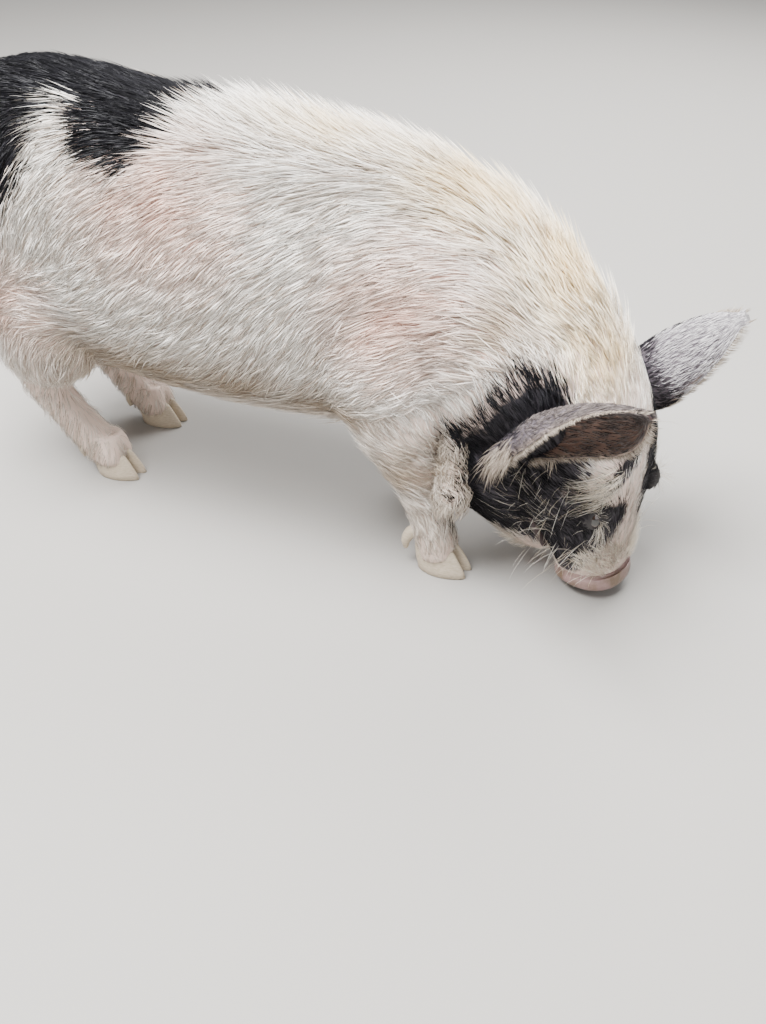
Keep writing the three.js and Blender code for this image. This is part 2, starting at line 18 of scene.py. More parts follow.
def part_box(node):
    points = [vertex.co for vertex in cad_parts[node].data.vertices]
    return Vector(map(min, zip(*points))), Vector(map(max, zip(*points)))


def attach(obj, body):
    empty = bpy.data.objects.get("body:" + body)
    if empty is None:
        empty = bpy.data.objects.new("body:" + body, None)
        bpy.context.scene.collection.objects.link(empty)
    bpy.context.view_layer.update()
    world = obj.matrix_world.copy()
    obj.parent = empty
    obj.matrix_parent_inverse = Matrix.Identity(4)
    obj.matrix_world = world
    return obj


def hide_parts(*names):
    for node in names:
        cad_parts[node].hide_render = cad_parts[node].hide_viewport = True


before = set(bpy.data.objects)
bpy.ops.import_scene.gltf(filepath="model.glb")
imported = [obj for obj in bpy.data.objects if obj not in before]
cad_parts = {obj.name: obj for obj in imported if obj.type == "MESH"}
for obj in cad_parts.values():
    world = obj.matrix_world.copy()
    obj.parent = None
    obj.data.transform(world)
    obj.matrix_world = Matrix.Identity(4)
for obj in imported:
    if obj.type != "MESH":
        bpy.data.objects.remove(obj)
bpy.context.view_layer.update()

bl_info = {
    "name": "Kunekune pig",
    "version": (1, 0, 0),
    "blender": (4, 5, 0),
    "location": "View3D > Sidebar > Pig",
    "description": "Builds a life-size kunekune pig with its skin, coat and stage",
    "category": "Object",
}

MM = 0.001
TINY = 1e-4

# The head's place and axes
HEAD_YAW = math.radians(-21)
HEAD_PITCH = math.radians(-88)
POLL = Vector((366, -38, 243))
HEADING = Vector((math.cos(HEAD_YAW), math.sin(HEAD_YAW), 0))
HEAD_F = HEADING * math.cos(HEAD_PITCH) + Vector((0, 0, math.sin(HEAD_PITCH)))
HEAD_S = Vector((0, 0, 1)).cross(HEADING).normalized()
HEAD_U = HEAD_F.cross(HEAD_S).normalized()
HEAD_TURN = Matrix((HEAD_F, HEAD_S, HEAD_U)).transposed()
SNOUT_REACH = 221
DISC_THICKNESS = 11
EYE_RADIUS = 10
EYES = {"right": (135, -43, -21), "left": (135, 43, -21)}
COAT_DEPTH = 9
SKIN_RISE = {"trunk": 4.0, "head": -2.0, "limb": 1.5}  # how far the skin lies off the solids' own core


def on_head(f, s, u):
    """A point from its places down the face, to the pig's left and out of the brow."""
    return POLL + HEAD_F * f + HEAD_S * s + HEAD_U * u


# The frame's origin is found from the right eye, whose place on the pig's own axes is known
EYE_LOW, EYE_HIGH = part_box("eye_right")
SHIFT = (EYE_LOW + EYE_HIGH) / 2 / MM - on_head(*EYES["right"])


def placed(point):
    """A point on the pig's own axes, in metres on the frame's."""
    return (Vector(point) + SHIFT) * MM


def ramp(low, high, x):
    """A share that eases from 0 at low to 1 at high, where low may be the larger one."""
    t = np.clip((x - low) / (high - low), 0, 1)
    return t * t * (3 - 2 * t)


def catmull(points, t):
    """A point on a centripetal Catmull-Rom curve through points, at a share t of its spans."""
    last = len(points) - 1
    span = min(int(t * last), last - 1)
    w = t * last - span
    p1, p2 = points[span], points[span + 1]
    p0 = points[span - 1] if span else 2 * p1 - p2
    p3 = points[span + 2] if span + 2 <= last else 2 * p2 - p1
    d0, d1, d2 = (float(np.sum((b - a) ** 2)) ** 0.25 for a, b in ((p0, p1), (p1, p2), (p2, p3)))
    d1 = d1 if d1 > TINY else 1.0
    d0 = d0 if d0 > TINY else d1
    d2 = d2 if d2 > TINY else d1
    m1 = ((p1 - p0) / d0 - (p2 - p0) / (d0 + d1) + (p2 - p1) / d1) * d1
    m2 = ((p2 - p1) / d1 - (p3 - p1) / (d1 + d2) + (p3 - p2) / d2) * d1
    c2 = 3 * (p2 - p1) - 2 * m1 - m2
    c3 = 2 * (p1 - p2) + m1 + m2
    return p1 + m1 * w + c2 * w * w + c3 * w ** 3


class Flesh:
    """A smooth tube through stations of place, half width, height above and height below."""

    def __init__(self, stations, up=(0, 0, 1), power=2.2):
        self.centre = [np.array(s[:3], float) for s in stations]
        self.size = [np.array(s[3:6], float) for s in stations]
        self.up = Vector(up)
        self.power = power

    def axes(self, t):
        """The way the tube runs at a share t of its spans, its side and its upper side."""
        ahead = catmull(self.centre, min(1, t + TINY)) - catmull(self.centre, max(0, t - TINY))
        along = Vector(ahead).normalized()
        side = self.up.cross(along).normalized()
        return along, side, along.cross(side)

    def point(self, t, angle, grow=0.0):
        """A point on the tube's wall; power 2 gives an ellipse, and more makes it squarer."""
        _, side, up = self.axes(t)
        size = catmull(self.size, t)
        c, s = math.cos(angle), math.sin(angle)
        e = 2 / self.power
        across = math.copysign(abs(c) ** e, c) * (size[0] + grow)
        rise = math.copysign(abs(s) ** e, s) * ((size[1] if s > 0 else size[2]) + grow)
        return Vector(catmull(self.centre, t)) + side * across + up * rise

    def sections(self, rows, columns, grow=0.0):
        """Closed sections in metres on the frame's axes, ready to loft."""
        turns = [2 * math.pi * (j + 0.5) / columns for j in range(columns)]
        return [[placed(self.point(i / rows, a, grow)) for a in turns] for i in range(rows + 1)]


def under_coat(stations):
    """The same stations, drawn in by the depth of the coat."""
    return [s[:3] + tuple(r - COAT_DEPTH for r in s[3:6]) for s in stations]


def head_station(f, u, half, above, below):
    """A station on the head's middle plane."""
    return tuple(on_head(f, 0, u)) + (half, above, below)


TRUNK = Flesh(under_coat([
    (-345, 4, 322, 22, 26, 34), (-336, 4, 316, 56, 66, 80), (-310, 3, 305, 88, 108, 114),
    (-262, 0, 292, 110, 129, 136), (-180, 0, 272, 119, 139, 140), (-90, 0, 260, 123, 137, 138),
    (-10, 0, 252, 122, 136, 134), (60, 0, 250, 117, 130, 130), (120, -1, 247, 107, 128, 126),
    (170, -3, 240, 92, 122, 120), (205, -6, 228, 72, 92, 96), (222, -8, 222, 42, 54, 58),
]))
NECK = Flesh(under_coat([
    (130, -2, 252, 96, 120, 120), (180, -6, 242, 93, 115, 122), (225, -14, 222, 86, 101, 124),
    (258, -22, 202, 76, 92, 118), (282, -29, 178, 62, 76, 100), (296, -34, 154, 44, 54, 68),
]), up=Vector((1, -0.3, 1)).normalized())
SKULL = Flesh([head_station(*s) for s in (
    (-26, -108, 34, 22, 42), (-12, -104, 46, 36, 58), (12, -94, 53, 50, 66), (48, -80, 58, 62, 78),
    (90, -68, 67, 63, 86), (130, -60, 66, 57, 78), (160, -54, 53, 47, 56), (190, -49, 42, 40, 40),
    (214, -46, 37, 37, 33), (SNOUT_REACH, -45, 35, 36, 31),
)], up=HEAD_U, power=2.25)
JAW = Flesh([head_station(*s) for s in (
    (26, -112, 63, 32, 50), (72, -120, 83, 42, 64), (118, -121, 89, 45, 74), (154, -113, 75, 42, 69),
    (183, -101, 54, 31, 51), (204, -89, 40, 20, 35), (216, -83, 27, 12, 19),
)], up=HEAD_U)
TAIL = Flesh([
    (-322, 3, 368, 15, 14, 14), (-342, 3, 364, 13, 12, 13), (-356, 4, 346, 10.5, 10, 10.5),
    (-363, 6, 316, 8.5, 8, 8.5), (-363, 9, 286, 8, 8, 8), (-358, 12, 256, 9, 8, 9), (-355, 14, 222, 4, 4, 4),
], up=(1, 0, 0), power=2)

# Each foot: its side, whether it is a hind one, its place on the floor and its turn in degrees
FEET = {
    "hind_leg_right": (-1, True, Vector((-186, -48, 0)), 0),
    "hind_leg_left": (1, True, Vector((-198, 60, 0)), 2),
    "foreleg_right": (-1, False, Vector((196, -66, 0)), -6),
    "foreleg_left": (1, False, Vector((160, 60, 0)), 4),
}
LEG_POWER = 2.1


def leg_flesh(side, hind, foot):
    x, y = foot.x, foot.y
    if hind:
        stations = [
            (x - 60, side * 60, 300, 34, 66, 70), (x - 44, side * 68, 240, 44, 76, 74),
            (x - 32, side * 68, 190, 42, 62, 64), (x - 50, side * 64, 150, 33, 42, 46),
            (x - 71, y, 120, 23, 26, 31), (x - 73, y, 99, 18, 22, 25), (x - 52, y, 68, 16, 18, 19),
            (x - 26, y, 40, 17, 19, 19), (x - 10, y, 23, 18, 18, 15),
        ]
    else:
        stations = [
            (130, side * 62, 275, 30, 52, 56), (132, side * 72, 225, 38, 56, 58),
            ((x + 402) / 4, side * 70, 175, 36, 46, 48), ((x + 134) / 2 - 4, side * 68, 135, 29, 30, 34),
            (x - 20, y, 96, 22, 22, 22), (x - 16, y, 80, 19, 20, 20), (x - 12, y, 56, 16.5, 16, 17),
            (x - 8, y, 36, 17.5, 17, 17), (x - 4, y, 22, 18, 18, 14),
        ]
    return Flesh(stations, up=(1, 0, 0), power=LEG_POWER)


def foot_place(foot, turn, side, x, y, z):
    """A point beside the middle of a foot, turned with it, on the pig's own axes."""
    return Vector((x, side * y, z)) @ Matrix.Rotation(-math.radians(turn), 3, "Z") + foot


# The flesh over a claw and the horn of a dewclaw: place beside the foot's middle, then three half sizes
DIGIT_FORM = (
    (-9, 5, 46, 9, 13, 13), (-6, 8, 34, 10, 15, 14), (-4, 9.5, 22, 9.2, 15, 13), (-2, 9.5, 14, 7, 13, 11),
)
SPUR_FORM = (
    (-20, 10, 46, 4, 4, 4), (-28, 11, 40, 6, 6, 6), (-33, 12, 30, 5.5, 5, 4.5), (-33, 12, 20, 2.5, 2.2, 2),
)


def foot_flesh(form, foot, turn, side):
    """A tube beside the middle of a foot, turned with it."""
    stations = [tuple(foot_place(foot, turn, side, *row[:3])) + row[3:] for row in form]
    return Flesh(stations, up=(1, 0, 0), power=LEG_POWER)


# Each wattle's root and how far its tip hangs to the pig's left; its form is share, height and half width
WATTLES = {"wattle_right": (Vector((206, -76, 150)), -12), "wattle_left": (Vector((226, 50, 150)), 10)}
WATTLE_FORM = (
    (0, 12, 8), (0.1, 0, 9.5), (0.2, -9, 8), (0.4, -18, 11), (0.6, -27, 10.5), (0.8, -38, 14), (1, -50, 12),
    (1, -58, 4),
)
WATTLE_AHEAD = 4


def wattle_flesh(root, out):
    """A wattle's tube, narrow below its root and with a bulb near its end."""
    places = [root + Vector((WATTLE_AHEAD * t, out * t, lift)) for t, lift, _ in WATTLE_FORM]
    stations = [(*place, r, r, r) for place, (_, _, r) in zip(places, WATTLE_FORM)]
    return Flesh(stations, up=(1, 0, 0), power=2)


# Each ear: root and tip on the head, which way its cup opens and how that twists in degrees, its width and
# where and how fast it narrows, and where its dark edge starts and its dark root ends
EARS = {
    "right": {"side": -1, "root": (70, -65, -101), "tip": (-24, -100, 46), "opening": 18, "twist": 44,
              "width": 92, "shoulder": 0.55, "taper": 2.0, "dark_edge": 60, "dark_root": 0.2},
    "left": {"side": 1, "root": (70, 66, -84), "tip": (-12, 101, 13), "opening": 34, "twist": 24,
             "width": 118, "shoulder": 0.3, "taper": 1.45, "dark_edge": 16, "dark_root": 0.36},
}
EAR_EDGE = Vector((-0.23, 0.57, 0.79))  # towards the edge of an ear that is dark
EAR_TIP = 0.11  # width left at the tip, as a share
EAR_THICKNESS = 3.4
EAR_FLESHY = 7  # how much thicker the leaf is at its root
EAR_SUNK = 12  # how far it starts inside the head
EAR_RAISED = 4
EAR_ARCH = 14
EAR_CURL = 2.15  # half the angle that it curls through at its root
EAR_UNCURL = 1.25  # how much less it curls at its tip


def ear_axes(ear, t):
    """Root and tip of an ear, the way between them, the way its cup opens at t, and across it."""
    start, end = on_head(*ear["root"]), on_head(*ear["tip"])
    along = (end - start).normalized()
    lateral = HEAD_S * ear["side"]
    lateral = (lateral - along * lateral.dot(along)).normalized()
    down = HEAD_F - along * HEAD_F.dot(along)
    down = (down - lateral * down.dot(lateral)).normalized()
    turn = math.radians(ear["opening"] + ear["twist"] * t)
    opening = down * math.cos(turn) + lateral * math.sin(turn)
    return start, end, along, opening, along.cross(opening).normalized()


def ear_width(ear, t):
    """The width of the leaf, which spreads from its root and narrows to its tip."""
    spread = 0.76 + 0.28 * float(ramp(0, 0.4, t))
    taper = 1 - max(0.0, (t - ear["shoulder"]) / (1 - ear["shoulder"])) ** ear["taper"]
    return ear["width"] * spread * max(EAR_TIP, max(0.0, taper) ** 0.85)


def ear_place(ear, t, share, inner, grow=0.0):
    """A point on an ear's back or inner face: t runs from root to tip, share from -1 to 1 across it."""
    start, end, along, opening, across = ear_axes(ear, t)
    length = (end - start).length
    curl = EAR_CURL - EAR_UNCURL * max(0.0, t) ** 1.6
    radius = ear_width(ear, t) / (2 * curl)
    thick = (EAR_THICKNESS + EAR_FLESHY * (1 - min(1, t * 4))) * (1 - 0.75 * abs(share) ** 3)
    rise = EAR_RAISED - EAR_ARCH * math.sin(math.pi * t)
    middle = start + along * (-EAR_SUNK + (length + EAR_SUNK) * t) + opening * rise
    r = max(1.0, radius - thick) - grow if inner else radius + grow
    return middle + opening * (radius - r * math.cos(curl * share)) + across * (r * math.sin(curl * share))


def ear_sections(ear, rows, columns):
    """Closed sections of the cupped leaf, the back first and then the inner face."""
    found = []
    for i in range(rows + 1):
        t = (i / rows) ** 0.9
        shares = [2 * j / columns - 1 for j in range(columns + 1)]
        back = [placed(ear_place(ear, t, share, False)) for share in shares]
        front = [placed(ear_place(ear, t, share, True)) for share in shares]
        found.append(back + front[::-1])
    return found


# Meshes

def loft(bm, sections, capped=True):
    """Walls drawn from one closed section to the next by extrusion, with a cap at each end."""
    column = bm.verts.layers.int.get("column") or bm.verts.layers.int.new("column")
    ring = bmesh.ops.create_circle(bm, cap_ends=False, segments=len(sections[0]), radius=1)["verts"]
    edges = list({e for v in ring for e in v.link_edges})
    for j, v in enumerate(ring):
        v[column] = j
        v.co = sections[0][j]
    first = edges
    for section in sections[1:]:
        made = bmesh.ops.extrude_edge_only(bm, edges=edges)["geom"]
        edges = [g for g in made if isinstance(g, bmesh.types.BMEdge)]
        for v in (g for g in made if isinstance(g, bmesh.types.BMVert)):
            v.co = section[v[column]]
    if capped:
        for rim in (first, edges):
            bmesh.ops.contextual_create(bm, geom=rim)


def mesh_object(name, bm, *materials):
    """A smooth-shaded object in the scene from a finished bmesh, its faces turned outwards."""
    bmesh.ops.recalc_face_normals(bm, faces=bm.faces)
    mesh = bpy.data.meshes.new(name)
    bm.to_mesh(mesh)
    bm.free()
    obj = bpy.data.objects.new(name, mesh)
    bpy.context.scene.collection.objects.link(obj)
    for material in materials:
        mesh.materials.append(material)
    mesh.shade_smooth()
    return obj


def applied(obj):
    """The object's mesh with its modifiers applied, and the modifiers gone."""
    graph = bpy.context.evaluated_depsgraph_get()
    mesh = bpy.data.meshes.new_from_object(obj.evaluated_get(graph))
    old = obj.data
    obj.modifiers.clear()
    obj.data = mesh
    mesh.name = obj.name
    bpy.data.meshes.remove(old)
    return obj


def own(obj, slot, *nodes):
    """The piece rides on the pig and stands for nodes of the frame, which it hides; slot is not used."""
    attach(obj, "root")
    if nodes:
        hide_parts(*nodes)
    return obj


# Fields over the body, worked out for many points at once

F_ROW, S_ROW, U_ROW = (np.array(axis) for axis in (HEAD_F, HEAD_S, HEAD_U))


def to_pig(points):
    """Points in metres on the frame's axes, in millimetres on the pig's own."""
    return points / MM - np.array(SHIFT)


def head_axes(p):
    """How far down the face, to the left and out of the brow points are."""
    off = p - np.array(POLL)
    return off @ F_ROW, off @ S_ROW, off @ U_ROW


def in_head(p):
    """From 0 behind the plane that parts the head from the neck to 1 in front of it."""
    f, _, u = head_axes(p)
    return ramp(-12, 26, f + 8 + 0.55 * (u + 60))


def in_leg(p):
    """From 0 on the trunk to 1 on a leg."""
    hind = ramp(-120, -150, p[:, 0]) * ramp(215, 165, p[:, 2])
    fore = ramp(70, 100, p[:, 0]) * ramp(245, 215, p[:, 0]) * ramp(165, 130, p[:, 2])
    return np.maximum(hind, fore)


def unit(rows):
    return rows / np.maximum(1e-9, np.linalg.norm(rows, axis=1))[:, None]


def blend(a, b, share):
    """Rows of a where share is 0 and of b where it is 1."""
    return a + (b - a) * share[:, None]


def along_skin(ways, normals):
    """Unit ways with their part off the skin taken away."""
    return unit(ways - normals * np.sum(ways * normals, axis=1)[:, None])


def coat_lie(p, n):
    """The way the coat lies at points p with normals n, along the skin."""
    x, y, z = p.T

    def way(ahead, rise):
        return np.tile((float(ahead), 0.0, float(rise)), (len(p), 1))

    # From the flank to the rump, the belly, the back's mid-line, the shoulder and the neck
    body = blend(way(-1, -0.95), way(-0.3, -1), ramp(20, 240, -x))
    body = blend(body, way(-1, -0.08), ramp(215, 165, z) * ramp(-230, -120, x))
    body = blend(body, way(-1, -0.12), ramp(335, 385, z) * ramp(80, 25, np.abs(y)))
    body = blend(body, way(-1, -0.35), ramp(110, 190, x))
    body = blend(body, way(-0.8, 0.3), ramp(205, 275, x))
    fold = np.exp(-((x + 160) ** 2 + (z - 225) ** 2) / 60 ** 2)
    body = blend(body, way(-0.9, 0.25), 0.85 * fold)
    body = blend(body, way(-0.25, -1), in_leg(p))
    f, s, _ = head_axes(p)
    outward = (np.sign(s) * ramp(6, 40, np.abs(s)))[:, None]
    face = -F_ROW - U_ROW * 0.3 + S_ROW * 0.3 * outward
    cheek = -F_ROW * 0.55 - U_ROW * 0.8 + S_ROW * 0.55 * outward
    face = blend(face, cheek, ramp(70, 100, f) * ramp(180, 150, f) * ramp(14, 36, np.abs(s)))
    return along_skin(blend(body, face, in_head(p)), n)


CREST_GAIN = 8  # how much longer the hair is on the back than on the flank
JOWL_GAIN = 8
POLL_GAIN = 14
SNOUT_SHARE = 0.35  # length left at the snout


def coat_length(p, sizes):
    """How long the coat's hair is at points, in millimetres."""
    length = sizes.coat_length + CREST_GAIN * ramp(300, 380, p[:, 2])
    length = length + (sizes.leg_hair - length) * ramp(200, 110, p[:, 2]) * in_leg(p)
    f, _, u = head_axes(p)
    face = sizes.face_hair + JOWL_GAIN * ramp(-70, -120, u) + POLL_GAIN * ramp(70, 0, f)
    face = face * (SNOUT_SHARE + (1 - SNOUT_SHARE) * ramp(226, 200, f))
    return length + (face - length) * in_head(p)


def round_an_axis(a, b):
    """The turn of points round an axis, from 0 to 1."""
    return np.arctan2(a, b) / (2 * math.pi) + 0.5


def skin_unwrap(p):
    """A place from 0 to 1 on a flat layout of the skin: each stretch is unrolled round its own axis."""
    # The trunk takes the lower left, the head the upper left, and the legs four strips on the right
    f, s, u = head_axes(p)
    trunk = round_an_axis(p[:, 1], p[:, 2] - 255)
    uv = np.stack([0.02 + 0.58 * (p[:, 0] + 360) / 720, 0.03 + 0.6 * trunk], 1)
    head = in_head(p) > 0.5
    uv[head] = np.stack([0.03 + 0.5 * (f + 60) / 300, 0.67 + 0.3 * round_an_axis(s, u + 80)], 1)[head]
    hind = p[:, 0] < 0
    around = round_an_axis(np.abs(p[:, 1]) - 64, p[:, 0] - np.where(hind, -240, 165))
    strip = np.where(hind, 0, 2) + np.where(p[:, 1] > 0, 1, 0)
    up_leg = np.clip(p[:, 2] / 220, 0, 1)
    leg = in_leg(p) > 0.5
    uv[leg] = np.stack([0.63 + 0.34 * up_leg, 0.03 + 0.235 * strip + 0.2 * around], 1)[leg]
    return np.clip(uv, 0.005, 0.995)


class Chance:
    """A repeatable source of spread values, and of smooth waves over the skin."""

    def __init__(self, seed):
        self.source = np.random.default_rng(seed)

    def spread(self, count, low, high):
        return self.source.uniform(low, high, count)

    def bell(self, count, wide):
        return np.clip(self.source.normal(0, wide, count), -2.5 * wide, 2.5 * wide)

    def waves(self, p, size, count=7):
        """Smooth values from about -1 to 1 that change over about size millimetres."""
        ways = unit(self.source.normal(size=(count, 3)))
        turns = self.source.uniform(0, 2 * math.pi, count)
        reach = self.source.uniform(0.7, 1.5, count)
        return np.sin(p @ ways.T * (2 * math.pi / size) * reach + turns).sum(1) / math.sqrt(count)


def scatter(mesh, count, chance, weight):
    """Places and normals on a mesh, spread evenly but as dense as weight(points, normals) makes them."""
    mesh.calc_loop_triangles()
    corners = np.zeros(len(mesh.loop_triangles) * 3, np.int32)
    mesh.loop_triangles.foreach_get("vertices", corners)
    corners = corners.reshape(-1, 3)
    co, no = np.zeros(len(mesh.vertices) * 3), np.zeros(len(mesh.vertices) * 3)
    mesh.vertices.foreach_get("co", co)
    mesh.vertices.foreach_get("normal", no)
    co, no = co.reshape(-1, 3), no.reshape(-1, 3)
    a, b, c = co[corners[:, 0]], co[corners[:, 1]], co[corners[:, 2]]
    area = np.linalg.norm(np.cross(b - a, c - a), axis=1) / 2
    middle = to_pig((a + b + c) / 3)
    share = area * weight(middle, unit(no[corners].sum(1)))
    pick = np.searchsorted(np.cumsum(share) / share.sum(), chance.spread(count, 0, 1))
    pick = np.minimum(pick, len(corners) - 1)
    r1, r2 = np.sqrt(chance.spread(count, 0, 1)), chance.spread(count, 0, 1)
    w = np.stack([1 - r1, r1 * (1 - r2), r1 * r2], 1)
    places = sum(w[:, k:k + 1] * co[corners[pick, k]] for k in range(3))
    normals = sum(w[:, k:k + 1] * no[corners[pick, k]] for k in range(3))
    return places, unit(normals)


# How wide and how high a blade is at each of its rings, as shares of its width, by the number of rings
BLADE_RINGS = {
    2: ((0.75, 0.8), (1, 1)),
    3: ((0.6, 0.8), (1, 1), (0.7, 0.8)),
}
BLADE_HEIGHT = 0.4  # height of a full ring, as a share of the blade's width
PATCH_HALF_WIDTH = 0.0012  # a blade's place on the OFBake map
PATCH_HEIGHT = 0.0026
ROOT_DEPTH = 1.5  # how far a tuft starts inside the skin


def blades(name, centres, across, heights, widths, material, chance, roots, uv):
    """One mesh of thin closed three-sided blades along centre lines that each end in a point."""
    rings = len(centres) - 1
    count, size = len(widths), 3 * rings + 1
    verts = np.zeros((count, size, 3), np.float32)
    for k, (wide, high) in enumerate(BLADE_RINGS[rings]):
        half = (widths * MM * wide / 2)[:, None]
        tall = (widths * MM * high * BLADE_HEIGHT)[:, None]
        verts[:, 3 * k] = centres[k] - across * half
        verts[:, 3 * k + 1] = centres[k] + across * half
        verts[:, 3 * k + 2] = centres[k] + heights * tall
    verts[:, -1] = centres[-1]
    tip, last = size - 1, 3 * (rings - 1)
    quads = [(3 * k + m, 3 * k + (m + 1) % 3, 3 * k + 3 + (m + 1) % 3, 3 * k + 3 + m)
             for k in range(rings - 1) for m in range(3)]
    tris = [(last + m, last + (m + 1) % 3, tip) for m in range(3)] + [(2, 1, 0)]
    start = np.arange(count, dtype=np.int32)[:, None] * size
    shapes = [np.array(faces, np.int32).reshape(1, -1) for faces in (quads, tris)]
    corners = np.concatenate([start + shape for shape in shapes], axis=1)
    totals = np.tile(np.array([4] * len(quads) + [3] * len(tris), np.int32), count)
    mesh = bpy.data.meshes.new(name)
    mesh.vertices.add(count * size)
    mesh.vertices.foreach_set("co", verts.ravel())
    mesh.loops.add(corners.size)
    mesh.loops.foreach_set("vertex_index", corners.ravel())
    mesh.polygons.add(len(totals))
    mesh.polygons.foreach_set("loop_start", np.concatenate([[0], np.cumsum(totals)[:-1]]).astype(np.int32))
    mesh.polygons.foreach_set("use_smooth", np.ones(len(totals), bool))
    mesh.update(calc_edges=True)
    up = np.repeat(np.arange(rings + 1) / rings, [3] * rings + [1]).astype(np.float32)
    for key, kind, field, values in (
        ("root", "FLOAT_VECTOR", "vector", np.repeat(roots.astype(np.float32), size, axis=0).ravel()),
        ("tone", "FLOAT", "value", np.repeat(chance.spread(count, 0, 1).astype(np.float32), size)),
        ("up", "FLOAT", "value", np.tile(up, count)),
    ):
        mesh.attributes.new(key, kind, "POINT").data.foreach_set(field, values)
    layer = mesh.uv_layers.new(name="OFBake")
    patch_u = np.array([-1, 1, 0] * rings + [0]) * PATCH_HALF_WIDTH
    patch = np.stack([patch_u, up * PATCH_HEIGHT - PATCH_HEIGHT / 2], 1)
    corner_uv = (uv[:, None, :] + patch[None, :, :]).reshape(-1, 2)[corners.ravel()]
    layer.data.foreach_set("uv", corner_uv.astype(np.float32).ravel())
    mesh.materials.append(material)
    obj = bpy.data.objects.new(name, mesh)
    bpy.context.scene.collection.objects.link(obj)
    return obj


def walk(roots, normals, lies, lengths, lifts, swing, tree, rings=2):
    """Centre lines that set out from roots and follow the skin the way the coat lies, and rise a little."""
    across = unit(np.cross(normals, lies))
    centres = [roots - normals * (ROOT_DEPTH * MM)]
    place, way = roots, lies
    before = 0.0
    for share in np.linspace(0, 1, rings + 1)[1:]:
        turn = unit(way + across * (swing * share)[:, None])
        place = place + turn * ((share - before) * lengths * MM)[:, None]
        before = share
        found = [tree.find_nearest(q) for q in place]
        place = np.array([hit[0] for hit in found])
        normal = np.array([hit[1] for hit in found])
        way = along_skin(way, normal)
        centres.append(place + normal * (lifts * MM * share ** 0.8)[:, None])
    return centres, across


# Materials

def rgb(colour):
    """A colour given as 0 to 255 screen values, as linear light."""
    shares = [c / 255 for c in colour]
    return tuple(c / 12.92 if c <= 0.04045 else ((c + 0.055) / 1.055) ** 2.4 for c in shares)


def socket(group, name, kind, way):
    group.interface.new_socket(name, in_out=way, socket_type=kind)


class Nodes:
    """Short calls for making nodes of a tree and joining them."""

    def __init__(self, tree):
        self.tree = tree

    def add(self, kind, inputs=None, **values):
        """A node with its own values set, and each input set or joined to a socket."""
        node = self.tree.nodes.new(kind)
        for key, value in values.items():
            setattr(node, key, value)
        for key, value in (inputs or {}).items():
            if isinstance(value, bpy.types.NodeSocket):
                self.tree.links.new(value, node.inputs[key])
            else:
                node.inputs[key].default_value = value
        return node

    def math(self, operation, *values):
        return self.add("ShaderNodeMath", dict(enumerate(values)), operation=operation).outputs[0]

    def fade(self, value, low, high):
        """1 below low, 0 above high."""
        return self.add("ShaderNodeMapRange", {0: value, 1: low, 2: high, 3: 1.0, 4: 0.0}).outputs[0]

    def noise(self, vector, scale, detail=3.0):
        inputs = {"Vector": vector, "Scale": scale, "Detail": detail, "Roughness": 0.55}
        return self.add("ShaderNodeTexNoise", inputs).outputs[0]

    def cells(self, vector, scale):
        """How far a point is from the creases of an irregular net."""
        inputs = {"Vector": vector, "Scale": scale}
        return self.add("ShaderNodeTexVoronoi", inputs, feature="DISTANCE_TO_EDGE").outputs["Distance"]

    def mix(self, share, a, b):
        """Colour a where share is 0 and b where it is 1, each a socket or three linear values."""
        a, b = (c if isinstance(c, bpy.types.NodeSocket) else (*c, 1.0) for c in (a, b))
        return self.add("ShaderNodeMix", {0: share, 6: a, 7: b}, data_type="RGBA").outputs[2]

    def attribute(self, name, output="Fac"):
        return self.add("ShaderNodeAttribute", attribute_name=name).outputs[output]

    def place(self):
        return self.add("ShaderNodeTexCoord").outputs["Object"]

    def paint(self, shader, colour):
        self.tree.links.new(colour, shader.inputs["Base Color"])

    def bump(self, shader, height, strength, depth):
        """Relief on a shader, its depth in millimetres."""
        relief = self.add("ShaderNodeBump", {"Strength": strength, "Distance": depth * MM, "Height": height})
        self.tree.links.new(relief.outputs[0], shader.inputs["Normal"])


# Patches of the coat: centre and half sizes, on the pig's own axes or on the head's
BODY_DARK = (
    ((-90, -30, 399), (52, 60, 54)),
    ((-74, 22, 410), (66, 48, 46)),
    ((-248, 0, 372), (96, 124, 104)),
    ((-182, 10, 420), (84, 60, 66)),
)
HEAD_DARK = (
    ((62, -72, -73), (58, 31, 44)),
    ((46, 80, -70), (44, 32, 32)),
    ((132, -68, -112), (76, 54, 80)),
    ((132, 68, -112), (76, 54, 80)),
    ((186, -46, -56), (38, 24, 36)),
    ((186, 46, -56), (38, 24, 36)),
    ((136, -52, -34), (30, 26, 26)),
    ((158, -36, -24), (36, 22, 24)),
    ((120, 44, -20), (62, 42, 36)),
    ((76, -54, -46), (38, 26, 24)),
    ((30, 46, -42), (28, 20, 28)),
)
HEAD_PALE = (
    ((46, -4, -18), (48, 20, 30)),
    ((84, -14, -10), (32, 12, 18)),
    ((104, -30, -14), (17, 14, 12)),
    ((112, -11, -8), (30, 9, 14)),
    ((142, -3, -7), (36, 6, 12)),
    ((168, -7, -10), (22, 8, 14)),
    ((198, -17, -17), (24, 19, 22)),
    ((212, -20, -108), (14, 30, 22)),
    ((80, 0, -208), (90, 44, 24)),
)
HEAD_STREAKS = (
    ((148, -25, -12), (20, 16, 20)),
    ((84, -9, -8), (12, 9, 14)),
    ((92, -18, -9), (11, 8, 14)),
    ((99, -27, -11), (10, 8, 14)),
    ((106, -36, -14), (9, 8, 14)),
    ((112, -44, -18), (8, 7, 14)),
)
BODY_PALE = (
    ((204, -86, 118), (17, 18, 40)),
    ((226, 60, 118), (18, 18, 40)),
    ((176, -74, 100), (34, 40, 74)),
    ((148, 64, 100), (34, 40, 74)),
)
